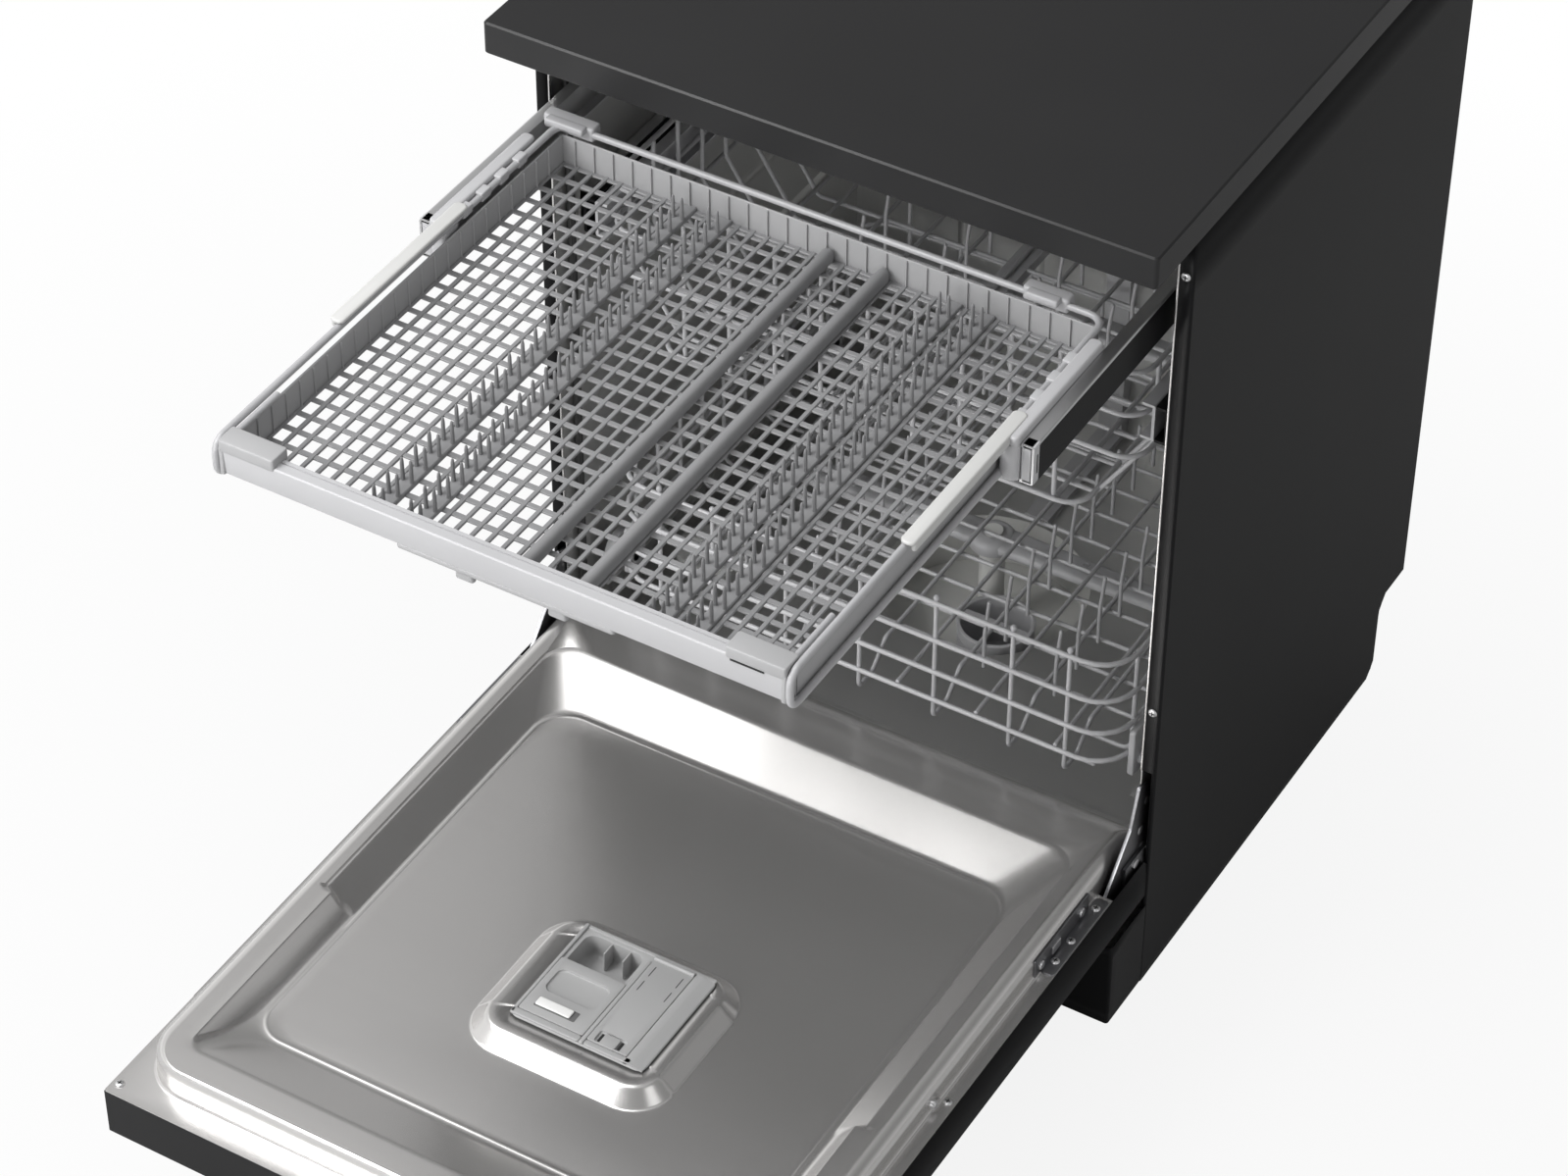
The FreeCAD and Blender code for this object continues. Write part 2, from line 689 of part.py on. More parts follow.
def sump():
    """Round well under the tub floor, with pump spigots and the post of the lower spray arm."""
    top = TUB_FLOOR - SHEET
    floor = top - SUMP_D
    cup = rod((0, SUMP_Y, floor), (0, SUMP_Y, top), SUMP_R)
    rim = rod((0, SUMP_Y, top - SUMP_T), (0, SUMP_Y, top), SUMP_R + SUMP_FLANGE)
    well = rod((0, SUMP_Y, floor + SUMP_T), (0, SUMP_Y, top), SUMP_R - SUMP_T)
    inner = SUMP_R - SUMP_T / 2
    right = rod((inner, SUMP_Y, PUMP_Z), (SUMP_R + SPIGOT_L, SUMP_Y, PUMP_Z), SPIGOT_R)
    left = rod((-inner, SUMP_Y, DRAIN_Z), (-SUMP_R - SPIGOT_L, SUMP_Y, DRAIN_Z), DRAIN_SPIGOT_R)
    body = joined([cup, rim, right, left]).cut(well)
    head = POST_TOP + SPRAY_T + 2 * ARM_PLAY
    post = rod((0, ARM_Y, floor), (0, ARM_Y, POST_TOP), POST_R)
    pin = rod((0, ARM_Y, floor), (0, ARM_Y, head), PIN_R)
    cap = rod((0, ARM_Y, head), (0, ARM_Y, head + PIN_HEAD_H), PIN_HEAD_R)
    return [joined([body, post, pin, cap])]


def filter_cup():
    """Hollow strainer standing on the sump floor."""
    low = TUB_FLOOR - SHEET - SUMP_D + SUMP_T
    high = TUB_FLOOR + FILTER_PROUD
    cup = rod((FILTER_X, FILTER_Y, low), (FILTER_X, FILTER_Y, high), FILTER_R)
    return [cup.cut(rod((FILTER_X, FILTER_Y, low + SUMP_T), (FILTER_X, FILTER_Y, high), FILTER_R - SUMP_T))]


def circulation_pump():
    """Motor and pump in one can on the right spigot."""
    start = SUMP_R + SPIGOT_L
    can = rod((start, SUMP_Y, PUMP_Z), (start + PUMP_L, SUMP_Y, PUMP_Z), PUMP_R)
    return [can]


def drain_pump():
    """Pump on the left spigot, with its hollow outlet running to the rear."""
    start = -SUMP_R - SPIGOT_L
    can = rod((start, SUMP_Y, DRAIN_Z), (start - DRAIN_L, SUMP_Y, DRAIN_Z), DRAIN_R)
    x = start - DRAIN_L / 2
    z = DRAIN_Z - OUTLET_DROP
    rear = DEPTH - OUTLET_INSET
    pipe = rod((x, SUMP_Y, z), (x, rear, z), OUTLET_R)
    nozzle = rod((x, rear - NOZZLE_L, z), (x, rear, z), NOZZLE_R)
    bore = rod((x, SUMP_Y + DRAIN_R, z), (x, rear, z), OUTLET_BORE_R)
    return [joined([can, pipe, nozzle]).cut(bore)]


def water_softener():
    """Salt tank on the base pan, with a neck through the tub floor."""
    x0 = -TUB_OUT + SOFT_SIDE
    tank = block((x0, x0 + SOFT_W), (SOFT_Y, SOFT_Y + SOFT_L), (PAN_FLOOR, PAN_FLOOR + SOFT_H))
    x, y = neck_place()
    neck = rod((x, y, PAN_FLOOR), (x, y, TUB_FLOOR), NECK_R)
    return [joined([tank, neck])]


def salt_cap():
    """Screw cap with a grip bar, on the tub floor."""
    x, y = neck_place()
    thick = CAP_GRIP_T / 2
    disc = rod((x, y, TUB_FLOOR), (x, y, TUB_FLOOR + CAP_H / 2), CAP_R)
    grip_x = (x - CAP_GRIP_HALF, x + CAP_GRIP_HALF)
    grip = block(grip_x, (y - thick, y + thick), (TUB_FLOOR, TUB_FLOOR + CAP_H))
    return [joined([disc, grip])]


def inlet_valve():
    """Valve block on the base pan with a threaded port through the rear wall."""
    rear = PANEL_REAR - NOTCH_D - 2 * PAN_T
    half = VALVE_W / 2
    body = block((VALVE_X - half, VALVE_X + half), (rear - VALVE_L, rear), (PAN_FLOOR, PAN_FLOOR + VALVE_H))
    z = port_height()
    port = rod((VALVE_X, rear - VALVE_L / 2, z), (VALVE_X, rear + PORT_L, z), PORT_R)
    return [joined([body, port])]


def power_inlet():
    """Gland for the mains lead on the base pan's rear wall."""
    rear = PANEL_REAR - NOTCH_D - PAN_T
    plate = rod((GLAND_X, rear, GLAND_Z), (GLAND_X, rear + PAN_T, GLAND_Z), GLAND_R)
    nose = rod((GLAND_X, rear, GLAND_Z), (GLAND_X, rear + GLAND_L, GLAND_Z), GLAND_NOSE_R)
    bore = rod((GLAND_X, rear, GLAND_Z), (GLAND_X, rear + GLAND_L, GLAND_Z), GLAND_BORE_R)
    return [joined([plate, nose]).cut(bore)]


def air_break():
    """Flat water chamber between the tub and the left panel."""
    return [block((AIR_CLEAR - PANEL_IN, -TUB_OUT), (AIR_Y, AIR_Y + AIR_L), (AIR_Z, AIR_Z + AIR_H))]


def riser_pipe():
    """Flat duct along the floor, up the rear wall and along the ceiling, ending in the ceiling arm's pin."""
    half = DUCT_W / 2
    rear = TUB_REAR - SHEET
    ceiling = TUB_TOP - SHEET
    floor = block((-half, half), (SUMP_Y + SUMP_R, rear), (TUB_FLOOR, TUB_FLOOR + DUCT_T / 2))
    upright = block((-half, half), (rear - DUCT_T, rear), (TUB_FLOOR, ceiling))
    over = block((-half, half), (ARM_Y - half, rear), (ceiling - DUCT_T, ceiling))
    low = ceiling_arm_low() - ARM_PLAY
    pin = rod((0, ARM_Y, low), (0, ARM_Y, ceiling), PIN_R)
    cap = rod((0, ARM_Y, low - PIN_HEAD_H), (0, ARM_Y, low), PIN_HEAD_R)
    return [joined([floor, upright, over, pin, cap])]


def ceiling_arm_low():
    """Underside of the ceiling spray arm."""
    return TUB_TOP - SHEET - DUCT_T - CEILING_DROP - SPRAY_T


def hinge_arm():
    """Right hinge arm: a blade inside the door and a raised lever behind the hinge, bored for its pin."""
    top = HINGE_Z + ARM_H
    under = FLANGE_Z - SHEET
    blade_far = HINGE_Y - FLANGE_FAR_GAP
    outline = [
        (HINGE_Y - ARM_BLADE, under - ARM_DEPTH),
        (HINGE_Y - ARM_BLADE, under),
        (blade_far, under),
    ]
    outline += [(HINGE_Y + run, top - drop) for run, drop in ARM_CREST]
    outline.append((HINGE_Y + ARM_HEEL, under - ARM_DEPTH))
    plate = prism(outline, "yz", ARM_X, ARM_X + ARM_T)
    bore = rod((ARM_X, HINGE_Y, HINGE_Z), (ARM_X + ARM_T, HINGE_Y, HINGE_Z), HINGE_PIN_R + RUN_CLEAR)
    return plate.cut(bore)


def hinge_bracket():
    """Right hinge bracket: a plate outside the arm with a fixed pin and a foot on the side panel."""
    x = (BRACKET_X, BRACKET_X + BRACKET_T)
    rear = HINGE_Y + BRACKET_REAR
    low = HINGE_Z - BRACKET_H
    high = HINGE_Z + BRACKET_H
    outline = [(HINGE_Y - BRACKET_H, low), (rear, low), (rear, high), (HINGE_Y - BRACKET_H, high)]
    plate = prism(outline, "yz", *x)
    foot = block((x[0], PANEL_IN), (rear - 2 * BRACKET_H, rear), (low, high))
    pin = rod((ARM_X, HINGE_Y, HINGE_Z), (x[1], HINGE_Y, HINGE_Z), HINGE_PIN_R)
    return joined([plate, foot, pin])


def balance_spring():
    """Right counterweight spring, seated on the bracket's rear face."""
    x = (TUB_OUT + PANEL_IN) / 2
    rear = HINGE_Y + BRACKET_REAR
    radius = (PANEL_IN - TUB_OUT) / 2 - SPRING_CLEAR
    return rod((x, rear, HINGE_Z), (x, rear + SPRING_L, HINGE_Z), radius)


def frame_screws():
    """Heads on the folded front edges of the side panels."""
    heads = []
    x = PANEL_IN - RETURN_W / 2
    for z in (TUB_TOP - TUB_HEAD, RETURN_BOTTOM + 4 * TUB_HEAD):
        heads += pair(rod((x, PANEL_FRONT - SCREW_H, z), (x, PANEL_FRONT, z), SCREW_R))
    return heads


def latch_strike():
    """Tongue from the cross bar that enters the door's latch."""
    low = TUB_TOP + STRIKE_ABOVE_TUB
    tip = HINGE_Y + FLANGE_ABOVE_HINGE - STRIKE_REACH
    return [block((-STRIKE_W / 2, STRIKE_W / 2), (tip, BAR_FRONT), (low, low + STRIKE_T))]


def latch_place():
    """Span along the open door of the strike's way in, with its play."""
    low = TUB_TOP + STRIKE_ABOVE_TUB - LATCH_PLAY
    high = TUB_TOP + STRIKE_ABOVE_TUB + STRIKE_T + LATCH_PLAY
    return HINGE_Y - (high - HINGE_Z), HINGE_Y - (low - HINGE_Z)


def door_outer_panel():
    """Black outer sheet with side cheeks that run on behind the hinge."""
    near = FASCIA_L - DOOR_REACH
    tail = HINGE_Y + DOOR_TAIL
    under = FLANGE_Z - SHEET
    outline = [
        (near, DOOR_UNDER),
        (tail, DOOR_UNDER),
        (tail, DOOR_UNDER + 4 * SHEET),
        (HINGE_Y + CHEEK_FALL, under),
        (near, under),
    ]
    cheek = prism(outline, "yz", DOOR_HALF - SHEET, DOOR_HALF)
    sheet = block((-DOOR_HALF, DOOR_HALF), (near, tail), (DOOR_UNDER, DOOR_UNDER + SHEET))
    return [joined([sheet] + pair(cheek))]


def basin(inset):
    """Sunk middle of the inner door, wider by the inset."""
    land = RIM_HALF - LAND_SIDE + inset
    floor = land - BASIN_SIDE
    near = RIM_NEAR + LAND_NEAR - DOOR_REACH - inset
    far = HINGE_Y - SLOPE_FAR + inset
    floor_y = (near + BASIN_NEAR, HINGE_Y - BASIN_FAR + inset)
    low = ((-floor, floor), floor_y, BASIN_FLOOR - inset, BASIN_CORNER)
    high = ((-land, land), (near, far), RIM_TOP, LAND_CORNER)
    return tapered_block(low, high)


def dome(inset):
    """Raised pad under the dispenser, smaller by the inset."""
    half_w = DOME_W / 2 - inset
    half_l = DOME_L / 2 - inset
    spans = []
    for cut in (0, DOME_SIDE):
        x = (DOME_X - half_w + cut, DOME_X + half_w - cut)
        y = (DOME_Y - half_l + cut, DOME_Y + half_l - cut)
        spans.append((x, y))
    low = (*spans[0], BASIN_FLOOR - inset, DOME_CORNER)
    high = (*spans[1], DOME_TOP - inset, DOME_CORNER - DOME_SIDE)
    return tapered_block(low, high)


def inner_form(inset, low):
    """Raised form of the inner door down to a low level, each face moved in by the inset."""
    half = RIM_HALF - inset
    near = RIM_NEAR - DOOR_REACH + inset
    body_y = (near, HINGE_Y + RIM_CORNER)
    body = rounded_block((-half, half), body_y, (low, RIM_TOP - inset), RIM_CORNER - inset)
    body = body.common(block((-half, half), (near, HINGE_Y), (low, RIM_TOP)))
    lip = rod((-half, HINGE_Y, HINGE_Z), (half, HINGE_Y, HINGE_Z), LIP_R - inset)
    lip = lip.common(block((-half, half), (HINGE_Y, HINGE_Y + LIP_R), (HINGE_Z, RIM_TOP)))
    return joined([joined([body, lip]).cut(basin(inset)), dome(inset)])


def door_liner():
    """Pressed steel inner door: flange, raised rim, sunk basin, dome and the lip that rolls into the tub."""
    under = FLANGE_Z - SHEET
    shell = inner_form(0, under).cut(inner_form(SHEET, HINGE_Z - SHEET))
    near = -DOOR_REACH
    far = HINGE_Y - FLANGE_FAR_GAP
    flange = block((-DOOR_HALF, DOOR_HALF), (near, far), (under, FLANGE_Z))
    half = RIM_HALF - SHEET
    gap_y = (near + RIM_NEAR + SHEET, HINGE_Y + RIM_CORNER)
    gap = rounded_block((-half, half), gap_y, (under, FLANGE_Z), RIM_CORNER - SHEET)
    liner = joined([shell, flange.cut(gap)])
    slot_w = (LATCH_W - 2 * LATCH_WALL) / 2
    liner = liner.cut(block((-slot_w, slot_w), latch_place(), (under, FLANGE_Z)))
    hole_w = DISP_W / 2 - DISP_EDGE + DISP_CLEAR
    hole_l = DISP_L / 2 - DISP_EDGE + DISP_CLEAR
    x = (DISP_X - hole_w, DISP_X + hole_w)
    y = (DISP_Y - hole_l, DISP_Y + hole_l)
    return [liner.cut(block(x, y, (BASIN_FLOOR, DOME_TOP)))]


def button_y():
    """Line of the buttons along the fascia."""
    return BUTTON_ROW - DOOR_REACH


def control_fascia():
    """Plastic control end of the door: a shell with a grip pocket, button holes and a display recess."""
    near = -DOOR_REACH
    far = FASCIA_L - DOOR_REACH - SEAM
    top = FLANGE_Z - SHEET
    solid = block((-DOOR_HALF, DOOR_HALF), (near, far), (DOOR_UNDER, top))
    inner = DOOR_HALF - FASCIA_WALL
    hollow = block((-inner, inner), (near + FASCIA_WALL, far), (DOOR_UNDER + FASCIA_T, top))
    half = POCKET_W / 2
    y = (near + POCKET_EDGE, near + POCKET_EDGE + POCKET_L)
    wall = FASCIA_WALL
    ceiling = DOOR_UNDER + POCKET_D
    pocket_out = block((-half - wall, half + wall), (y[0] - wall, y[1] + wall), (DOOR_UNDER, ceiling + wall))
    pocket_in = block((-half, half), y, (DOOR_UNDER, ceiling))
    pieces = [solid.cut(hollow), pocket_out]
    z = (DOOR_UNDER + FASCIA_T, DOOR_UNDER + FASCIA_T + MODULE_H)
    for x in (-BOSS_X, BOSS_X):
        pieces.append(rod((x, button_y(), DOOR_UNDER), (x, button_y(), z[1]), BOSS_R))
    shell = joined(pieces).cut(pocket_in)
    for x in (POWER_X, PROGRAM_X, START_X):
        shell = shell.cut(rod((x, button_y(), DOOR_UNDER), (x, button_y(), z[0]), BUTTON_R + BUTTON_CLEAR))
    half = DISPLAY_W / 2 + DISPLAY_CLEAR
    y = button_y()
    deep = DISPLAY_L / 2 + DISPLAY_CLEAR
    return [shell.cut(block((-half, half), (y - deep, y + deep), (DOOR_UNDER, DOOR_UNDER + DISPLAY_T)))]


def display_window():
    """Clear plate in the fascia's recess."""
    half = DISPLAY_W / 2
    y = button_y()
    deep = DISPLAY_L / 2
    return [block((-half, half), (y - deep, y + deep), (DOOR_UNDER, DOOR_UNDER + DISPLAY_T))]


def button(x):
    """Push button: a cap through the fascia, a stop flange behind it and a stem."""
    y = button_y()
    back = DOOR_UNDER + FASCIA_T + BUTTON_CLEAR
    stop = back + BUTTON_FLANGE_T
    cap = rod((x, y, DOOR_UNDER - BUTTON_PROUD), (x, y, back), BUTTON_R)
    flange = rod((x, y, back), (x, y, stop), BUTTON_FLANGE_R)
    stem = rod((x, y, stop), (x, y, stop + BUTTON_STEM_H), BUTTON_STEM_R)
    return [joined([cap, flange, stem])]


def control_module():
    """Circuit box on the fascia's bosses."""
    low = DOOR_UNDER + FASCIA_T + MODULE_H
    half = DOOR_HALF - MODULE_EDGE
    y = (button_y() - MODULE_L / 2, button_y() + MODULE_L / 2)
    return [block((-half, half), y, (low, low + MODULE_T))]


def latch_housing():
    """Latch box under the flange, with the strike's way in."""
    y0, y1 = latch_place()
    top = FLANGE_Z - SHEET
    half = LATCH_W / 2
    solid = block((-half, half), (y0 - LATCH_WALL / 2, y1 + LATCH_WALL), (top - LATCH_D, top))
    inner = half - LATCH_WALL
    return [solid.cut(block((-inner, inner), (y0, y1), (top - LATCH_D + LATCH_WALL, top)))]


def lid_near():
    """Near end of the open detergent lid."""
    return DISP_Y - DISP_L / 2 + DISP_EDGE + CHAMBER_EDGE


def chamber_span():
    """X and Y spans of the detergent chamber."""
    x0 = DISP_X - DISP_W / 2 + DISP_EDGE + CHAMBER_EDGE
    y1 = DISP_Y + DISP_L / 2 - DISP_EDGE - CHAMBER_EDGE
    return (x0, x0 + CHAMBER_W), (y1 - CHAMBER_L, y1)


def rinse_span():
    """X and Y spans of the rinse-aid lid, with its hinge at the far end."""
    x1 = DISP_X + DISP_W / 2 - DISP_EDGE - EAR_T - RINSE_SIDE
    y1 = DISP_Y + DISP_L / 2 - DISP_EDGE - EAR_T
    return (x1 - RINSE_W, x1), (y1 - RINSE_L, y1)


def dispenser_body():
    """Block through the dome: top flange, detergent chamber, and two ears with the rinse lid's pin."""
    half_w = DISP_W / 2
    half_l = DISP_L / 2
    x = (DISP_X - half_w, DISP_X + half_w)
    y = (DISP_Y - half_l, DISP_Y + half_l)
    plate = block(x, y, (DOME_TOP, DISP_TOP))
    inner_x = (x[0] + DISP_EDGE, x[1] - DISP_EDGE)
    inner_y = (y[0] + DISP_EDGE, y[1] - DISP_EDGE)
    deep = block(inner_x, inner_y, (DISP_TOP - DISP_DEPTH, DISP_TOP))
    chamber_x, chamber_y = chamber_span()
    pieces = [joined([plate, deep]).cut(block(chamber_x, chamber_y, (DISP_TOP - CHAMBER_D, DISP_TOP)))]
    lid_x, lid_y = rinse_span()
    z = DISP_TOP + LID_GAP + RINSE_KNUCKLE_R
    r = RINSE_KNUCKLE_R
    left = lid_x[0] - LID_GAP - EAR_T
    right = lid_x[1] + LID_GAP
    for low in (left, right):
        pieces.append(block((low, low + EAR_T), (lid_y[1] - r, lid_y[1] + r), (DISP_TOP, z + r)))
    pieces.append(rod((left, lid_y[1], z), (right + EAR_T, lid_y[1], z), RINSE_PIN_R))
    return [joined(pieces)]


def detergent_lid():
    """Sliding lid, drawn back from the chamber."""
    chamber_x, chamber_y = chamber_span()
    middle = (chamber_x[0] + chamber_x[1]) / 2
    low = DISP_TOP + LID_GAP
    y = (lid_near(), lid_near() + LID_L)
    return [block((middle - LID_W / 2, middle + LID_W / 2), y, (low, low + LID_T))]


def lid_slider():
    """Release slider on the detergent lid."""
    chamber_x, chamber_y = chamber_span()
    middle = (chamber_x[0] + chamber_x[1]) / 2 - SLIDER_SHIFT
    low = DISP_TOP + LID_GAP + LID_T + LID_GAP
    y0 = lid_near() + SLIDER_L
    return [block((middle - SLIDER_W / 2, middle + SLIDER_W / 2), (y0, y0 + SLIDER_L), (low, low + SLIDER_T))]


def rinse_lid():
    """Hinged lid with a bored knuckle at its far end."""
    lid_x, lid_y = rinse_span()
    low = DISP_TOP + LID_GAP
    z = low + RINSE_KNUCKLE_R
    plate = block(lid_x, lid_y, (low, low + LID_T))
    knuckle = rod((lid_x[0], lid_y[1], z), (lid_x[1], lid_y[1], z), RINSE_KNUCKLE_R)
    bore = rod((lid_x[0], lid_y[1], z), (lid_x[1], lid_y[1], z), RINSE_PIN_R + RUN_CLEAR)
    return [joined([plate, knuckle]).cut(bore)]


def door_screws():
    """Heads on the door's flange."""
    x = (RIM_HALF + DOOR_HALF) / 2
    heads = []
    for y in [HINGE_Y - run for run in DOOR_SCREW_RUNS] + [RIM_NEAR / 2 - DOOR_REACH]:
        heads += pair(rod((x, y, FLANGE_Z), (x, y, FLANGE_Z + SCREW_H), SCREW_R))
    return heads


def tray_rod(radius):
    """The cutlery tray's one rod: two side hairpins joined across the rear."""
    half = TRAY_HALF
    low = TRAY_LOW_ROD
    rear = TRAY_REAR - TRAY_BEND
    points = [
        (-half, rear, low), (-half, TRAY_FRONT, low), (-half, TRAY_FRONT, TRAY_Z), (-half, TRAY_REAR, TRAY_Z),
        (half, TRAY_REAR, TRAY_Z), (half, TRAY_FRONT, TRAY_Z), (half, TRAY_FRONT, low), (half, rear, low),
    ]
    turn = TRAY_LOOP / 2
    return bent_rod(points, (turn, turn, TRAY_BEND, TRAY_BEND, turn, turn), radius)


def tray_insert():
    """Plastic basket of the cutlery tray: holed floor, four walls, rows of comb teeth and two ridges."""
    half = TRAY_HALF - TRAY_ROD_R - TRAY_CLEAR
    front = TRAY_FRONT + FRONT_BAR_L + TRAY_CLEAR
    rear = TRAY_REAR - TRAY_ROD_R - TRAY_CLEAR
    low = TRAY_LOW_ROD - TRAY_ROD_R / 2
    top = low + TRAY_FLOOR_T
    high = top + TRAY_WALL_H
    length = rear - front
    across = (2 * half, 0, 0)
    along = (0, length, 0)
    floor = grille((-half, front, low), across, along, TRAY_COLUMNS, TRAY_ROWS, TRAY_BAR, TRAY_FLOOR_T)
    pieces = [floor]
    wall = TRAY_WALL_T
    pieces += pair(block((half - wall, half), (front, rear), (top, high)))
    inner = half - wall
    pieces.append(block((-inner, inner), (front, front + wall), (top, high)))
    pieces.append(block((-inner, inner), (rear - wall, rear), (top, high)))
    inside = (front + 2 * TRAY_BAR, rear - 2 * TRAY_BAR)
    for place in COMB_PLACES:
        pieces.append(comb(place * half - COMB_T / 2, inside, top))
    for place in RIDGE_PLACES:
        x = place * half
        pieces.append(block((x - RIDGE_W / 2, x + RIDGE_W / 2), inside, (top, top + RIDGE_H)))
    return pieces


def tray_front_bar():
    """Grip bar between the front loops."""
    half = TRAY_HALF - TRAY_ROD_R - TRAY_CLEAR / 2
    middle = TRAY_Z - TRAY_LOOP / 2
    z = (middle - FRONT_BAR_H / 2, middle + FRONT_BAR_H / 2)
    return [block((-half, half), (TRAY_FRONT, TRAY_FRONT + FRONT_BAR_L), z)]


def tray_clips():
    """Two clips round the rear rod."""
    groove = tray_rod(TRAY_ROD_R + TRAY_CLEAR / 4)
    y = (TRAY_REAR - TRAY_ROD_R, TRAY_REAR - TRAY_ROD_R + CLIP_L)
    z = (TRAY_Z - CLIP_H / 2, TRAY_Z + CLIP_H / 2)
    clips = []
    for side, run in ((-TRAY_HALF, CLIP_LEFT_RUN), (TRAY_HALF, CLIP_RIGHT_RUN)):
        cut = block((side + run[0], side + run[1]), y, z).cut(groove)
        clips.append(max(cut.Solids, key=lambda solid: solid.Volume))
    return clips


def tray_handle():
    """Right side grip: a strip over the top rod with a skirt outside it."""
    inner = TRAY_HALF + TRAY_ROD_R + TRAY_CLEAR - (HANDLE_W - HANDLE_SKIRT)
    outer = inner + HANDLE_W
    low = TRAY_Z + TRAY_ROD_R + TRAY_CLEAR / 4
    strip = block((inner, outer), HANDLE_Y, (low, low + HANDLE_T))
    skirt = block((outer - HANDLE_SKIRT, outer), HANDLE_Y, (TRAY_Z - TRAY_ROD_R, low + HANDLE_T))
    return joined([strip, skirt])


def tray_runner():
    """Right runner on the tray, with lugs on the rods."""
    z = (TRAY_RAIL_Z - RAIL_H / 2 + RAIL_GAP, TRAY_Z - TRAY_ROD_R - 2 * RAIL_GAP)
    y = (TRAY_MID_FRONT - TRAY_RUNNER_NOSE, TRAY_REAR - TRAY_RUNNER_REAR_GAP)
    strip = channel((RUNNER_X, RUNNER_X + RUNNER_T), y, z)
    lugs = []
    rod_out = TRAY_HALF + TRAY_ROD_R + TRAY_CLEAR / 4
    for start in (y[0], (y[0] + y[1] - LUG_L) / 2, y[1] - LUG_L):
        for low, high in ((z[0], z[0] + RAIL_LIP), (z[1] - RAIL_LIP, z[1])):
            lugs.append(block((rod_out, RUNNER_X), (start, start + LUG_L), (low, high)))
    return joined([strip] + lugs)


def rail_set(x, y, middle):
    """Left and right rail of one stage at a height."""
    return pair(channel(x, y, (middle - RAIL_H / 2, middle + RAIL_H / 2)))


def upper_runner():
    """Right runner on the upper rack."""
    start = UPPER_FRONT + SHEET
    z = (UPPER_RAIL_Z - RAIL_H / 2, UPPER_RAIL_Z + RAIL_H / 2)
    strip = channel((RUNNER_X, RUNNER_X + RUNNER_T), (start, start + UPPER_RUNNER_L), z)
    reach = block((UPPER_HALF, RUNNER_X), (start, start + UPPER_RUNNER_L), (z[1] - RAIL_LIP, z[1]))
    return joined([strip, reach])


def upper_rack():
    """Wire basket with sloped lower sides, as flat grilles."""
    front = UPPER_FRONT
    rear = UPPER_FRONT + UPPER_L
    floor_half = UPPER_FLOOR_HALF
    side_h = UPPER_SIDE_H
    half = UPPER_HALF
    low = UPPER_FLOOR - WIRE / 2
    along = (0, UPPER_L, 0)
    upright = (0, 0, side_h)
    wide = (2 * floor_half, 0, 0)
    pieces = [grille((-floor_half, front, low), wide, along, RACK_COLUMNS, RACK_ROWS, WIRE, WIRE)]
    pieces += pair(grille((half, front, UPPER_SHOULDER), along, upright, RACK_ROWS, RACK_TIERS, WIRE, -WIRE))
    run = half - WIRE - floor_half - 2 * JOINT_GAP
    rise = UPPER_SHOULDER - UPPER_FLOOR - WIRE
    corner = (floor_half + JOINT_GAP, front, UPPER_FLOOR)
    pieces += pair(grille(corner, (run, 0, rise), along, APRON_TIERS, RACK_ROWS, WIRE, WIRE))
    inner = half - WIRE - JOINT_GAP
    for y in (front + WIRE, rear):
        corner = (-inner, y, UPPER_SHOULDER)
        pieces.append(grille(corner, (2 * inner, 0, 0), upright, RACK_COLUMNS, RACK_TIERS, WIRE, WIRE))
        corner = (-floor_half, y, low + WIRE)
        apron = (0, 0, UPPER_SHOULDER - low - WIRE)
        pieces.append(grille(corner, wide, apron, RACK_COLUMNS, APRON_TIERS, WIRE, WIRE))
    return pieces


def upper_feed_duct():
    """Water duct under the upper rack's floor, ending in the upper spray arm's pin."""
    top = UPPER_FLOOR - WIRE / 2
    rear = TUB_REAR - SHEET - DUCT_T - FEED_GAP
    duct = block((-FEED_W / 2, FEED_W / 2), (ARM_Y - FEED_W, rear), (top - FEED_T, top))
    low = top - FEED_T - SPRAY_T - 2 * ARM_PLAY
    pin = rod((0, ARM_Y, low), (0, ARM_Y, top), PIN_R)
    cap = rod((0, ARM_Y, low - PIN_HEAD_H), (0, ARM_Y, low), PIN_HEAD_R)
    return [joined([duct, pin, cap])]


def wheel_centre(y):
    """Axis of a right-hand wheel of the lower rack."""
    return LOWER_HALF + WHEEL_OUT, y, RIM_TOP + WHEEL_GAP + WHEEL_R


def wheel(y):
    """Right wheel with its bore."""
    x, y, z = wheel_centre(y)
    disc = rod((x, y, z), (x + WHEEL_T, y, z), WHEEL_R)
    groove = rod((x + WHEEL_T - WHEEL_GROOVE_D, y, z), (x + WHEEL_T, y, z), WHEEL_GROOVE_R)
    hub = rod((x, y, z), (x + WHEEL_T, y, z), WHEEL_HUB_R)
    return joined([disc.cut(groove), hub]).cut(rod((x, y, z), (x + WHEEL_T, y, z), WHEEL_BORE + RUN_CLEAR))


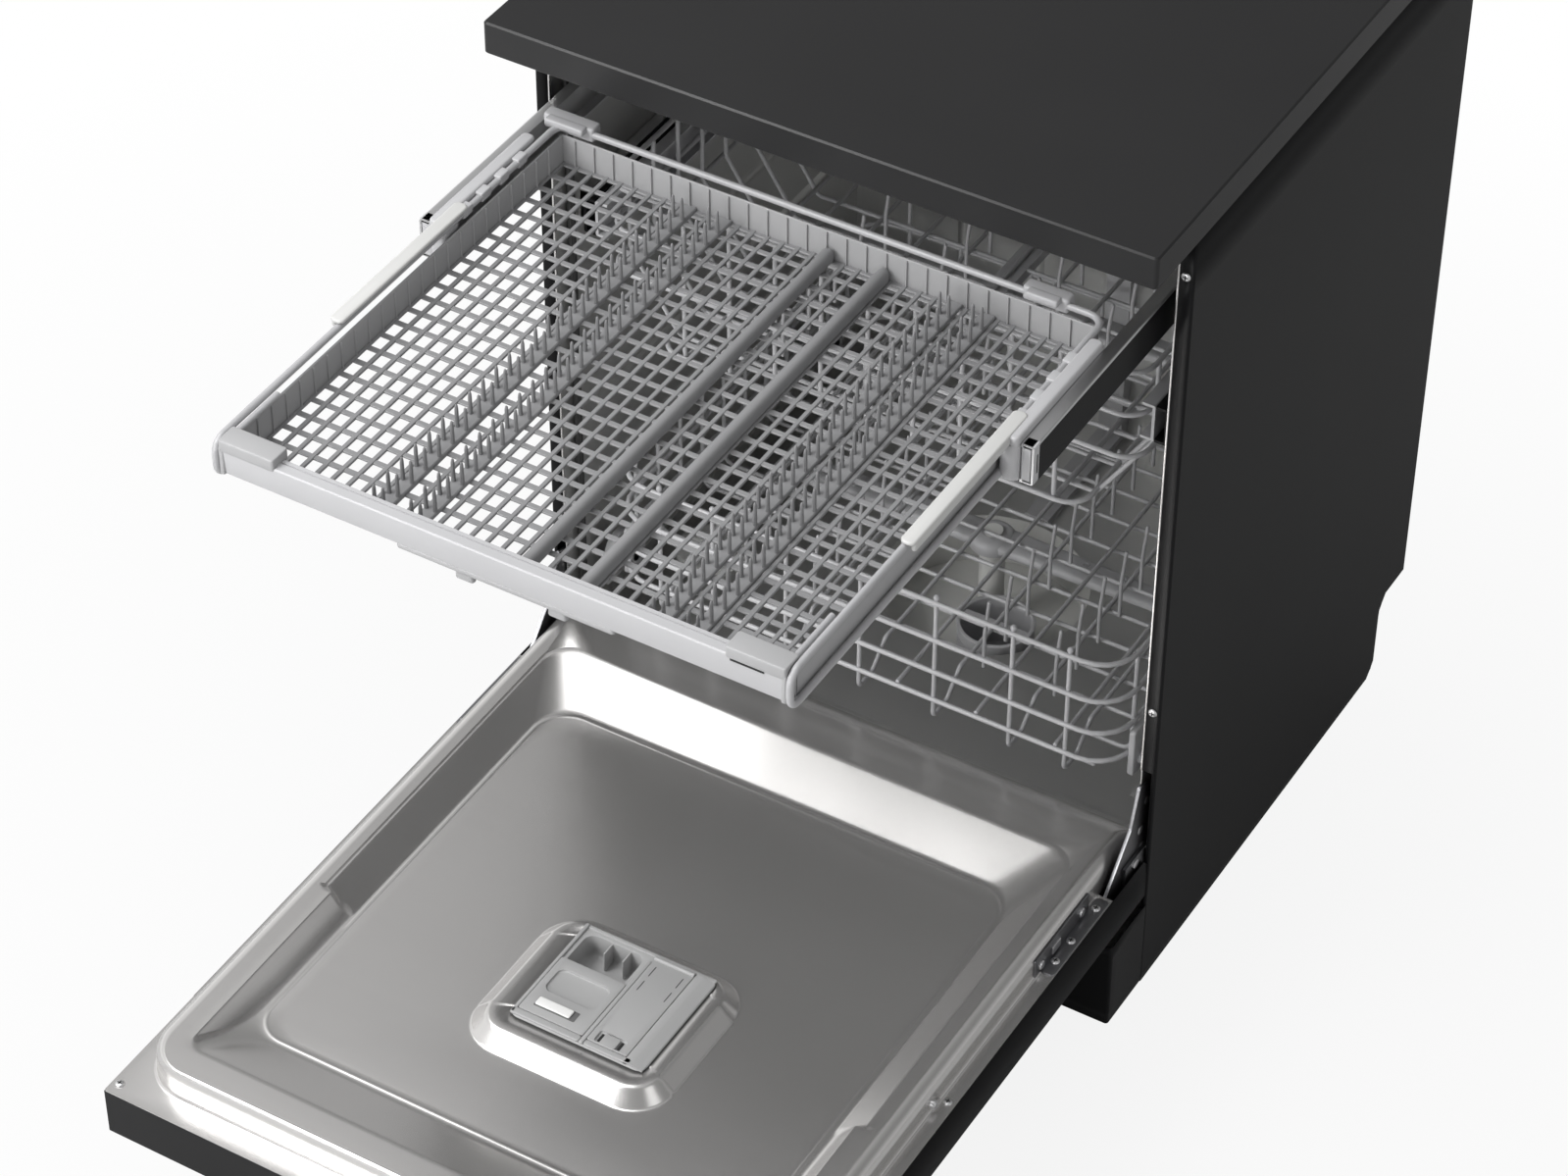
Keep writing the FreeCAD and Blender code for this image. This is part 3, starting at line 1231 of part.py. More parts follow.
def wheel_carrier(y):
    """Right wheel's block on the rack's side, with its axle."""
    x, y, z = wheel_centre(y)
    plate_low = LOWER_FLOOR - WIRE / 2
    low = z - CARRIER_H / 2
    plate_x = (LOWER_HALF, LOWER_HALF + CARRIER_T)
    plate_y = (y - CARRIER_L / 2, y + CARRIER_L / 2)
    plate = block(plate_x, plate_y, (low, plate_low + CARRIER_H))
    shoulder = rod((LOWER_HALF, y, z), (x - AXLE_END / 2, y, z), CARRIER_BOSS_R)
    axle = rod((LOWER_HALF, y, z), (x + WHEEL_T + AXLE_END, y, z), WHEEL_BORE)
    return joined([plate, shoulder, axle])


def lower_rack():
    """Wire basket as flat grilles, with feet at its front and four wheel carriers."""
    half = LOWER_HALF
    front = LOWER_FRONT
    rear = front + LOWER_L
    low = LOWER_FLOOR - WIRE / 2
    high = low + WIRE
    tall = LOWER_TOP - high
    along = (0, LOWER_L, 0)
    upright = (0, 0, tall)
    pieces = [grille((-half, front, low), (2 * half, 0, 0), along, RACK_COLUMNS, RACK_ROWS, WIRE, WIRE)]
    pieces += pair(grille((half, front, high), along, upright, RACK_ROWS, RACK_TIERS, WIRE, -WIRE))
    inner = half - WIRE
    for y in (front + WIRE, rear):
        wide = (2 * inner, 0, 0)
        pieces.append(grille((-inner, y, high), wide, upright, RACK_COLUMNS, RACK_TIERS, WIRE, WIRE))
    reach = int((half - LOWER_FOOT_L) // LOWER_FOOT_PITCH)
    for i in range(-reach, reach + 1):
        x = i * LOWER_FOOT_PITCH
        corner = (x - WIRE / 2, front, LOWER_FOOT)
        pieces.append(grille(corner, (0, LOWER_FOOT_L, 0), (0, 0, low - LOWER_FOOT), 1, 1, WIRE, WIRE))
    for y in WHEEL_Y:
        pieces += pair(wheel_carrier(y))
    return pieces


def cabinet():
    """Pieces that stand still."""
    right = side_panel()
    tray_rail_y = (RAIL_FRONT, RAIL_FRONT + RAIL_L)
    rail_x = (RAIL_X, TUB_IN)
    return {
        "worktop": worktop(),
        "side_panel_right": [right],
        "side_panel_left": [mirrored(right)],
        "rear_panel": rear_panel(),
        "base_pan": base_pan(),
        "plinth": plinth(),
        "levelling_feet": levelling_feet(),
        "tub": tub(),
        "front_frame": front_frame(),
        "door_seal": door_seal(),
        "sump": sump(),
        "filter": filter_cup(),
        "circulation_pump": circulation_pump(),
        "drain_pump": drain_pump(),
        "water_softener": water_softener(),
        "salt_cap": salt_cap(),
        "inlet_valve": inlet_valve(),
        "power_inlet": power_inlet(),
        "air_break": air_break(),
        "riser_pipe": riser_pipe(),
        "hinge_brackets": pair(hinge_bracket()),
        "balance_springs": pair(balance_spring()),
        "tray_rails": rail_set(rail_x, tray_rail_y, TRAY_RAIL_Z),
        "upper_rails": rail_set(rail_x, tray_rail_y, UPPER_RAIL_Z),
        "frame_screws": frame_screws(),
        "latch_strike": latch_strike(),
        "lower_spray_arm": [spray_arm((0, ARM_Y), POST_TOP + ARM_PLAY)],
        "ceiling_spray_arm": [spray_arm((0, ARM_Y), ceiling_arm_low())],
    }


def door():
    """Pieces that swing with the door."""
    return {
        "door_outer_panel": door_outer_panel(),
        "door_liner": door_liner(),
        "control_fascia": control_fascia(),
        "display_window": display_window(),
        "power_button": button(POWER_X),
        "program_button": button(PROGRAM_X),
        "start_button": button(START_X),
        "control_module": control_module(),
        "latch_housing": latch_housing(),
        "dispenser_body": dispenser_body(),
        "detergent_lid": detergent_lid(),
        "lid_slider": lid_slider(),
        "rinse_lid": rinse_lid(),
        "hinge_arms": pair(hinge_arm()),
        "door_screws": door_screws(),
    }


def drawers():
    """Pieces that slide: the cutlery tray, the upper rack and the lower rack."""
    mid_x = (MID_X, MID_X + MID_T)
    arm_low = UPPER_FLOOR - WIRE / 2 - FEED_T - ARM_PLAY - SPRAY_T
    upper_mid = (UPPER_FRONT + SHEET, UPPER_FRONT + SHEET + UPPER_RUNNER_L)
    front_wheel = wheel(WHEEL_Y[0])
    rear_wheel = wheel(WHEEL_Y[1])
    return {
        "tray_frame": [tray_rod(TRAY_ROD_R)],
        "tray_insert": tray_insert(),
        "tray_front_bar": tray_front_bar(),
        "tray_clips": tray_clips(),
        "tray_handles": pair(tray_handle()),
        "tray_runners": pair(tray_runner()),
        "tray_mid_rails": rail_set(mid_x, (TRAY_MID_FRONT, TRAY_MID_FRONT + TRAY_MID_L), TRAY_RAIL_Z),
        "upper_rack": upper_rack(),
        "upper_feed_duct": upper_feed_duct(),
        "upper_spray_arm": [spray_arm((0, ARM_Y), arm_low)],
        "upper_runners": pair(upper_runner()),
        "upper_mid_rails": rail_set(mid_x, upper_mid, UPPER_RAIL_Z),
        "lower_rack": lower_rack(),
        "wheel_front_right": [front_wheel],
        "wheel_front_left": [mirrored(front_wheel)],
        "wheel_rear_right": [rear_wheel],
        "wheel_rear_left": [mirrored(rear_wheel)],
    }


os.makedirs("parts", exist_ok=True)
for group in (cabinet(), door(), drawers()):
    for name, solids in group.items():
        shape = Part.makeCompound(solids) if len(solids) > 1 else solids[0]
        shape.translate(V(0, FRONT_SHIFT, 0))
        shape.exportStep("parts/" + name + ".step")
        state = "valid" if shape.isValid() else "INVALID"
        print(name, len(shape.Solids), "solid", round(shape.Volume), "mm3", state)
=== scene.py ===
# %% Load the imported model
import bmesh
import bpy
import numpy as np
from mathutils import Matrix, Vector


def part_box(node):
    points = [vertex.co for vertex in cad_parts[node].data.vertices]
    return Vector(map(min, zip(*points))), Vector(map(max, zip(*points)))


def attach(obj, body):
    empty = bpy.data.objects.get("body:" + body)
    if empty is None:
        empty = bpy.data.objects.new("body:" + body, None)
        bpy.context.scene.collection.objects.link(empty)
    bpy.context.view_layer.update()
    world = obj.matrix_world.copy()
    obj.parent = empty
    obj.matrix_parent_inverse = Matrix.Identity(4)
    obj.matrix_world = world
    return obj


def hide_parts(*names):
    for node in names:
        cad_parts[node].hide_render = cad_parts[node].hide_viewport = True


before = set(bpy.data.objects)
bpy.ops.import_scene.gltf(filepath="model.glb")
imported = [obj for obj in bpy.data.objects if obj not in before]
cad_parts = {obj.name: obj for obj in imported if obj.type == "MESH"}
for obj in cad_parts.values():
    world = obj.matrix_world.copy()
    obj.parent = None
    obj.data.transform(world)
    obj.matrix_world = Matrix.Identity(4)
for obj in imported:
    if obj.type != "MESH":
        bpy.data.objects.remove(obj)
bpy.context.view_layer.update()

# %% [markdown]
# # A dishwasher with its door open
#
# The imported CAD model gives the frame: every body, joint and node is where the machine needs it. This
# notebook dresses it. The CAD meshes could be shown as they are, but their edges are sharp and their wires
# square. So most nodes get a piece of their own, worked out with numpy in millimetres, and its mesh is put
# into Blender in metres.

MM = 0.001
X, Y, Z = np.eye(3)


def span(node):
    """Low and high corner of a CAD node, in millimetres."""
    low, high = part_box(node)
    return np.array(low) / MM, np.array(high) / MM


def extent(node):
    """The (low, high) pairs of a CAD node along x, y and z, in millimetres."""
    return np.transpose(span(node))


def about(centre, half):
    """Pair of values on both sides of a centre."""
    return centre - half, centre + half


def grown(pair, by):
    """Pair moved apart by a distance at both ends; a negative distance draws it in."""
    return pair[0] - by, pair[1] + by


# %% [markdown]
# ## Grid surfaces
#
# A surface is a grid of points P(u, v), and four neighbours make a quad. Rings stacked along u, with a
# polygon on the first and the last, make a closed skin. Blender's primitives and edit tools could start
# every piece too, but then the sizes hide in the steps. Arrays keep each size in sight.

# %% Grids, skins and groups


def grid(points, closed=False):
    """Quads of a grid of points P(u, v); closed joins the last column to the first."""
    rows, columns = points.shape[:2]
    index = np.arange(rows * columns).reshape(rows, columns)
    if closed:
        index = np.hstack([index, index[:, :1]])
    quads = np.stack([index[:-1, :-1], index[1:, :-1], index[1:, 1:], index[:-1, 1:]], -1)
    return points.reshape(-1, 3), quads.reshape(-1, 4).tolist()


def capped(rings):
    """Closed skin over a stack of rings P(k, t), with a polygon on the first and on the last."""
    points, faces = grid(rings, closed=True)
    count = rings.shape[1]
    last = len(points) - count
    return points, faces + [list(range(count))[::-1], list(range(last, len(points)))]


def group(shapes):
    """Several shapes as one list of points and one of faces."""
    points = np.concatenate([shape[0] for shape in shapes])
    faces = []
    start = 0
    for own, quads in shapes:
        faces += [[corner + start for corner in face] for face in quads]
        start += len(own)
    return points, faces


print("grid helpers ready")

# %% [markdown]
# ## Materials
#
# A finish is a Principled shader fed by small procedural patterns: a soft cloud drifts the colour, and a
# fine grain moves the roughness and the bump, because no real coat is quite even. Image textures would need
# files and unwrapping; noise over Object coordinates needs neither. `Field` wraps one socket, and sums and
# products of fields become Math nodes, so a pattern reads like its formula.

# %% The socket wrapper


class Field:
    """One shader socket; arithmetic on it adds Math nodes to its tree."""

    def __init__(self, tree, socket):
        self.tree = tree
        self.socket = socket

    def node(self, kind, output, settings=None, inputs=None):
        """Any other node: its type, the output wanted, its settings, then values or links of its sockets."""
        made = self.tree.nodes.new(kind)
        for name, value in (settings or {}).items():
            setattr(made, name, value)
        for name, value in (inputs or {}).items():
            if isinstance(value, Field):
                self.tree.links.new(value.socket, made.inputs[name])
            else:
                made.inputs[name].default_value = value
        return Field(self.tree, made.outputs[output])

    def math(self, operation, first, second):
        """A Math node of the operation on two values or fields."""
        return self.node("ShaderNodeMath", 0, {"operation": operation}, {0: first, 1: second})

    def __add__(self, other):
        return self.math("ADD", self, other)

    __radd__ = __add__

    def __sub__(self, other):
        return self.math("SUBTRACT", self, other)

    def __rsub__(self, other):
        return self.math("SUBTRACT", other, self)

    def __mul__(self, other):
        return self.math("MULTIPLY", self, other)

    __rmul__ = __mul__


def noise(place, scale, detail=2.0, stretch=(1, 1, 1)):
    """Noise between 0 and 1 over object coordinates, stretched along the axes."""
    spread = place.node("ShaderNodeMapping", "Vector", None, {"Vector": place, "Scale": stretch})
    return place.node("ShaderNodeTexNoise", 0, None, {"Vector": spread, "Scale": scale, "Detail": detail})


def mixed(place, factor, low, high):
    """Colour between two colours by a field."""
    inputs = {"Factor": factor, 6: (*low, 1), 7: (*high, 1)}
    return place.node("ShaderNodeMix", 2, {"data_type": "RGBA"}, inputs)


print("socket wrapper ready")


def finish(name, slot, low, high, rough, metal=0.0, cloud=6.0, grain=900.0, bump=0.02, swing=0.08,
           stretch=(1, 1, 1), coat=0.0, gloss=0.5):
    """Material whose colour drifts with a soft cloud and whose roughness and bump follow a fine grain."""
    material = bpy.data.materials.new(name)
    material.use_nodes = True
    tree = material.node_tree
    shader = tree.nodes["Principled BSDF"]
    place = Field(tree, tree.nodes.new("ShaderNodeTexCoord").outputs["Object"])
    drift = noise(place, cloud)
    fine = noise(place, grain, 3.0, stretch)
    relief = place.node("ShaderNodeBump", "Normal", None, {"Strength": bump, "Distance": MM, "Height": fine})
    fed = {
        "Base Color": mixed(place, drift, low, high),
        "Roughness": rough - swing / 2 + swing * fine,
        "Normal": relief,
    }
    for socket, field in fed.items():
        tree.links.new(field.socket, shader.inputs[socket])
    for socket, value in (("Metallic", metal), ("Coat Weight", coat), ("Specular IOR Level", gloss)):
        shader.inputs[socket].default_value = value
    return material


print("finish maker ready")

# %% [markdown]
# ## Metal finishes
#
# The outside is coated steel, nearly black and satin, with little reflection. The inner door is bright
# rolled stainless, and rails and screws are zinc-plated. Rolling leaves a grain along one direction. An
# Anisotropic socket could show it; noise stretched along X in the roughness gives the same soft streaks
# and can be baked.

# %% Metals
ROLLED = {"cloud": 3.0, "grain": 160, "stretch": (0.02, 1, 1)}
PLATED = {"metal": 1.0, "cloud": 14.0, "grain": 700, "bump": 0.04}
BLACK_TOP = finish("satin_black_top", "black_top", (0.017, 0.017, 0.0175), (0.021, 0.021, 0.0215), 0.34,
                   bump=0.05, gloss=0.25)
BLACK_STEEL = finish("black_coated_steel", "black_steel", (0.006, 0.006, 0.0065), (0.009, 0.009, 0.0095),
                     0.34, bump=0.05, gloss=0.1)
STAINLESS = finish("pressed_stainless", "stainless", (0.60, 0.59, 0.58), (0.68, 0.67, 0.66), 0.25,
                   metal=0.88, bump=0.001, swing=0.03, **ROLLED)
TUB_STEEL = finish("tub_stainless", "stainless", (0.55, 0.55, 0.54), (0.63, 0.63, 0.62), 0.48,
                   metal=1.0, bump=0.004, swing=0.06, **ROLLED)
ZINC = finish("zinc_steel", "zinc_steel", (0.55, 0.55, 0.55), (0.68, 0.68, 0.69), 0.34, swing=0.14, **PLATED)
# Zinc steel made darker, as painted shade, for the hinge arms, straps and brackets at the door's sides.
SHADED_ZINC = finish("hinge_steel", "zinc_steel", (0.20, 0.20, 0.21), (0.28, 0.28, 0.29), 0.32,
                     swing=0.12, **PLATED)
WIRE_GREY = finish("grey_coated_wire", "grey_wire", (0.36, 0.36, 0.37), (0.43, 0.43, 0.44), 0.36,
                   cloud=20.0, grain=1200, bump=0.04, swing=0.10, coat=0.15)

# %% [markdown]
# ## Plastic, glass and rubber finishes
#
# Mouldings have a fine spark-eroded grain, so their bump is a dense noise and their shine is broken. The
# tray's walls, clips, lattice and pegs are the bar's grey plastic made darker as painted shade, the lattice
# most, and the side grips are the white plastic darkened as painted shade too. The dispenser has a grey of
# its own, between the basket's and the bar's. One grey with vertex colours could do the darkening; here each
# tone is a material of its own.

# %% Plastics, glass and rubber
MOULDED = {"grain": 1500, "bump": 0.06, "swing": 0.10}
POLISHED = {"cloud": 10.0, "grain": 1500, "bump": 0.04, "swing": 0.08}
GREY = finish("grey_moulded_plastic", "grey_plastic", (0.42, 0.42, 0.43), (0.47, 0.47, 0.48), 0.46,
              cloud=10.0, **MOULDED)
DISPENSER = finish("dispenser_plastic", "dispenser_grey", (0.32, 0.32, 0.32), (0.37, 0.37, 0.37), 0.48,
                   cloud=12.0, **MOULDED)
WHITE = finish("white_plastic", "white_plastic", (0.70, 0.70, 0.69), (0.77, 0.77, 0.76), 0.40, **POLISHED)
# The white plastic made darker, as painted shade, for the tray's side grips.
SHADED_WHITE = finish("grip_plastic", "white_plastic", (0.52, 0.52, 0.51), (0.58, 0.58, 0.57), 0.42, **POLISHED)
# The tray's grey plastic made darker, as painted shade, for the basket's walls and the bar's clips.
TRAY_WALL_SHADE = finish("tray_wall_plastic", "grey_plastic", (0.33, 0.33, 0.335), (0.37, 0.37, 0.375), 0.48,
                   cloud=10.0, **MOULDED)
# The same grey darker still, as painted shade, for the lattice and the pegs deep in the basket.
LATTICE_SHADE = finish("tray_floor_plastic", "grey_plastic", (0.21, 0.21, 0.215), (0.25, 0.25, 0.255), 0.48,
                 cloud=10.0, **MOULDED)
# Dark grey for painted shade in recesses of the dispenser.
RECESS_SHADE = finish("recess_plastic", "dispenser_grey", (0.10, 0.10, 0.10), (0.13, 0.13, 0.13), 0.55,
                cloud=12.0, **MOULDED)
BLACK_PLASTIC = finish("black_plastic", "black_plastic", (0.008, 0.008, 0.0085), (0.013, 0.013, 0.0135), 0.42,
                       cloud=8.0, grain=1500, bump=0.08, swing=0.10, gloss=0.15)
GLASS = finish("display_glass", "display_black", (0.004, 0.004, 0.005), (0.008, 0.008, 0.009), 0.08,
               cloud=8.0, grain=400, bump=0.0, swing=0.03, coat=0.5)
RUBBER = finish("black_rubber", "black_rubber", (0.018, 0.018, 0.018), (0.030, 0.030, 0.030), 0.70,
                cloud=14.0, bump=0.10, swing=0.12)
TANK = finish("tank_plastic", "tank_plastic", (0.62, 0.62, 0.60), (0.70, 0.70, 0.68), 0.50,
              cloud=8.0, bump=0.04, swing=0.10)
SHADOW = finish("dark_gap", "black_rubber", (0.010, 0.010, 0.010), (0.016, 0.016, 0.016), 0.80)

# %% [markdown]
# ## Pieces
#
# `piece` turns a shape into an object that rides on one body and stands for the CAD nodes it replaces. A
# closed skin has its faces turned outwards. A pressed or folded sheet is an open grid: it keeps the order
# of its faces, and a live Solidify modifier gives its thickness, which stays easy to change. Smooth shading
# with sharp edges by angle does what an Edge Split modifier would, without splitting the mesh.

# %% Making a piece


def piece(name, shape, material, body, replaces=(), sheet=0.0, closed=True, sharp=40.0):
    """Mesh object from a shape in millimetres; sheet is the thickness that Solidify gives an open grid."""
    points, faces = shape
    mesh = bpy.data.meshes.new(name)
    mesh.from_pydata((points * MM).tolist(), [], faces)
    if closed and not sheet:
        work = bmesh.new()
        work.from_mesh(mesh)
        bmesh.ops.recalc_face_normals(work, faces=work.faces)
        work.to_mesh(mesh)
        work.free()
    mesh.shade_smooth()
    mesh.set_sharp_from_angle(angle=np.radians(sharp))
    mesh.materials.append(material)
    made = bpy.data.objects.new(name, mesh)
    bpy.context.scene.collection.objects.link(made)
    if sheet:
        skin = made.modifiers.new("sheet", "SOLIDIFY")
        skin.thickness = sheet * MM
        skin.offset = -1
    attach(made, body)
    if replaces:
        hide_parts(*replaces)
    print(name, len(faces), "faces on", body)


def coat(material, *nodes):
    """Gives CAD nodes that stay in view a finish."""
    for name in nodes:
        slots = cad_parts[name].data.materials
        slots.clear()
        slots.append(material)


print("piece maker ready")

# %% [markdown]
# ## Carried-over nodes
#
# Pumps, pan, tub and other parts that are plain or mostly hidden keep the mesh of their CAD node. Making
# them again would show nothing new, so they only take a finish.

# %% Finishes of the CAD nodes
coat(BLACK_PLASTIC, "control_fascia", "latch_housing")
coat(GLASS, "display_window")
coat(GREY, "riser_pipe", "upper_feed_duct")
coat(ZINC, "base_pan", "front_frame", "balance_springs", "latch_strike")
coat(SHADED_ZINC, "hinge_brackets")
coat(TUB_STEEL, "tub")
coat(TANK, "sump", "water_softener", "air_break", "drain_pump")
coat(BLACK_PLASTIC, "circulation_pump", "control_module")
print("CAD nodes finished")

# %% [markdown]
# ## Worktop and side panels
#
# The worktop is a coated board, and its edges are broken just enough to catch a thin line of light. A cube
# with a Bevel modifier would do; the slab helper does the same and keeps its size in plain numbers.
#
# A side panel is one folded steel sheet. Its profile runs from the front return round a bend, along the
# side and round the rear fold, and the rear end steps in at the foot to clear the hoses. Bending a plane by
# hand would blur the folds, so the profile is worked out at each height and Solidify gives the thickness.

# %% Outlines and slabs
LEAST_CORNER = 0.1


def outline(x, y, corner, steps=6):
    """Rectangle with quarter-circle corners: centre + corner * (cos a, sin a) at each of the four."""
    turn = np.linspace(0, np.pi / 2, steps)
    left, right = grown(x, -corner)
    near, far = grown(y, -corner)
    arcs = []
    for quarter, centre in enumerate(((right, near), (right, far), (left, far), (left, near)), start=-1):
        angle = turn + quarter * np.pi / 2
        arcs.append(centre + corner * np.column_stack([np.cos(angle), np.sin(angle)]))
    return np.concatenate(arcs)


def level(points, z):
    """Flat points lifted to a height."""
    return np.column_stack([points, np.full(len(points), z)])


def slab(x, y, z, corner, edge, steps=4):
    """Block with round corners and edges: rings inset by edge * (1 - sin a) at both faces."""
    turn = np.linspace(0, np.pi / 2, steps)
    inset = edge * (1 - np.sin(turn))
    rise = edge * (1 - np.cos(turn))
    insets = np.concatenate([inset, inset[::-1]])
    levels = np.concatenate([z[0] + rise, z[1] - rise[::-1]])
    rings = []
    for cut, height in zip(insets, levels):
        ring = outline(grown(x, -cut), grown(y, -cut), max(corner - cut, LEAST_CORNER))
        rings.append(level(ring, height))
    return capped(np.array(rings))


print("slabs ready")

# %% Worktop
piece("worktop_slab", slab(*extent("worktop"), 4.0, 1.5, 2), BLACK_TOP, "cabinet", ("worktop",))

# %% [markdown]
# ## Left and right
#
# Most pieces come in pairs. A Mirror modifier or a scale of -1 would make the second one, but a negative
# scale turns faces inside out and is lost when the scale is applied. Multiplying x by -1 in the points
# leaves the object unscaled. A closed skin then has its normals worked out again, and an open sheet has
# the order of each face turned round.

# %% Mirror images


def moved(shape, shift=(0, 0, 0), flip=(1, 1, 1)):
    """A shape mirrored by the signs of flip, then shifted."""
    return shape[0] * np.array(flip) + np.array(shift), shape[1]


def both(shape):
    """A shape and its mirror image in the plane x = 0."""
    return group([shape, moved(shape, flip=(-1, 1, 1))])


def flipped(shape):
    """Mirror image in the plane x = 0, with each face's order turned round."""
    return shape[0] * (-1, 1, 1), [face[::-1] for face in shape[1]]


print("mirrors ready")

# %% Side panels
SIDE_LOW, SIDE_HIGH = span("side_panel_right")
BEND = 2.2
RETURN_FROM, RETURN = 262, 13
FOLD_FROM, FOLD = 104, 19
PLAIN_EDGE = 4
REAR_EDGE = (
    (15, 525), (27, 537), (88, 537), (92, 538), (103, 548), (FOLD_FROM, 549),
    (FOLD_FROM + 0.1, SIDE_HIGH[1]), (816, SIDE_HIGH[1]),
)


def folded(z):
    """Profile of the side sheet at one height: front return, bend, flat side, bend, rear return."""
    turn = np.linspace(0, np.pi / 2, 6)
    rear = np.interp(z, *np.transpose(REAR_EDGE))
    inner = SIDE_HIGH[0] - (RETURN if z > RETURN_FROM else PLAIN_EDGE)
    fold = SIDE_HIGH[0] - (FOLD if z > FOLD_FROM else PLAIN_EDGE)
    bend_x = SIDE_HIGH[0] - BEND
    bend_y = SIDE_LOW[1] + BEND
    flat = np.linspace(bend_y, rear - BEND, 12)[1:-1]
    front = np.column_stack([bend_x + BEND * np.sin(turn), bend_y - BEND * np.cos(turn)])
    middle = np.column_stack([np.full(len(flat), SIDE_HIGH[0]), flat])
    back = np.column_stack([bend_x + BEND * np.cos(turn), rear - BEND + BEND * np.sin(turn)])
    return level(np.vstack([(inner, SIDE_LOW[1]), front, middle, back, (fold, rear)]), z)


upper = np.linspace(SIDE_HIGH[2], RETURN_FROM + 1, 12)
middle = [RETURN_FROM + 0.1, RETURN_FROM - 0.1, 180, FOLD_FROM + 0.1]
heights = np.concatenate([upper, middle, np.linspace(FOLD_FROM, 15, 14)])
panel = grid(np.array([folded(z) for z in heights]))
for side, shape in (("right", panel), ("left", flipped(panel))):
    piece("side_sheet_" + side, shape, BLACK_STEEL, "cabinet", ("side_panel_" + side,), sheet=0.9, sharp=8)

# %% Bright edges of the mouth
trim = slab((284.7, 286.4), (68.5, 70.6), (RETURN_FROM, 797), 0.6, 0.5)
piece("mouth_trim", both(trim), STAINLESS, "cabinet")

# %% [markdown]
# ## Rear panel
#
# A zinc-coated sheet closes the back, pressed with a sunk field and cross ribs so that it does not drum.
# It could be sculpted or displaced by a picture. Here its depth is a height field over x and z made of
# smooth steps, so each rib is one term of a sum. Slots in the lower part let warm air out; they are not cut,
# and dark patches just proud of the sheet are their painted shade.

# %% Rear panel
BACK_LOW, BACK_HIGH = span("rear_panel")
BORDER, SOFT = 24, 34
SUNK, PROUD = 3.5, 2.2
RIB_LEVELS = (260, 400, 540, 680)


def step(value, start, end):
    """Smooth step from 0 to 1 between two values: t * t * (3 - 2 t)."""
    t = np.clip((value - start) / (end - start), 0, 1)
    return t * t * (3 - 2 * t)


x, z = np.meshgrid(np.linspace(BACK_LOW[0], BACK_HIGH[0], 90), np.linspace(BACK_LOW[2], BACK_HIGH[2], 150))
field = step(BACK_HIGH[0] - np.abs(x), BORDER, SOFT) * step(z, BACK_LOW[2] + BORDER, BACK_LOW[2] + SOFT)
field *= step(BACK_HIGH[2] - z, BORDER, SOFT)
ribs = sum(step(14 - np.abs(z - rib), 0, 8) for rib in RIB_LEVELS)
ribs *= step(BACK_HIGH[0] - 60 - np.abs(x), 0, 14)
plate = np.stack([x, BACK_HIGH[1] - SUNK * field + PROUD * field * ribs, z], -1)
piece("rear_sheet", grid(plate), ZINC, "cabinet", ("rear_panel",), sheet=0.8, sharp=60)

# %% Vent slots of the rear panel, painted as shade


def laid(shape, order):
    """A shape whose axes are taken in another order."""
    return shape[0][:, order], shape[1]


slot_y = (BACK_HIGH[1] - 4, BACK_HIGH[1] - 3.3)
slots = []
for side in (-1, 1):
    for x in 150 + np.arange(-5, 6) * 14.0:
        slot = slab(about(side * x, 3), (150, 205), slot_y, 2.9, 0.2, 2)
        slots.append(laid(slot, [0, 2, 1]))
piece("rear_vent_slots", group(slots), SHADOW, "cabinet")

# %% [markdown]
# ## Inner door
#
# The liner is one deep-drawn stainless sheet: a flat basin floor, a slope up to the land, a rolled rim and,
# at the hinge side, the lip that turns down into the tub. A dome in the middle carries the dispenser.
# Subdivision modelling would give soft shapes with doubtful sizes. Level lines are surer: each one is a
# closed ring with the same number of points, and the sheet is the grid through all rings from the dome's
# top to the rim's foot. The side slope is steep near the user and gentle farther in; STEP_Y is where the
# one turns into the other.

# %% Sizes of the inner door
HINGE_Y, HINGE_Z = 50.0, 162.0
LINER_LOW, LINER_HIGH = span("door_liner")
RIM_TOP = LINER_HIGH[2]
LIP = RIM_TOP - HINGE_Z
FLANGE_Z = HINGE_Z + 5.0
RIM_HALF = 282.5
RIM_NEAR = LINER_LOW[1] + 23.0
RIM_ROLL = 14.0
NEAR_SHARE = 0.3
FLOOR_Z = RIM_TOP - 20.0
FLOOR_HALF, LAND_HALF, LAND_STEEP = 231.0, 260.0, 252.0
FLOOR_NEAR, LAND_NEAR = -493.0, -550.0
FLOOR_FAR, LAND_FAR = -40.0, 15.0
NEAR_CORNER, FAR_CORNER = 30, 35
NEAR_LOSS, FAR_LOSS = 16, 10
LEDGE, SIDE_SHARE = 2.0, 0.9
STEP_Y, STEP_HALF = -342.0, 4
ACROSS = 24
ARC = np.linspace(0, np.pi / 2, 10)
SIDE_Y = np.concatenate([np.linspace(-440, -352, 8), np.linspace(-349, -335, 9), np.linspace(-330, -100, 16)])
print("inner door", LINER_LOW, LINER_HIGH)

# %% Level lines


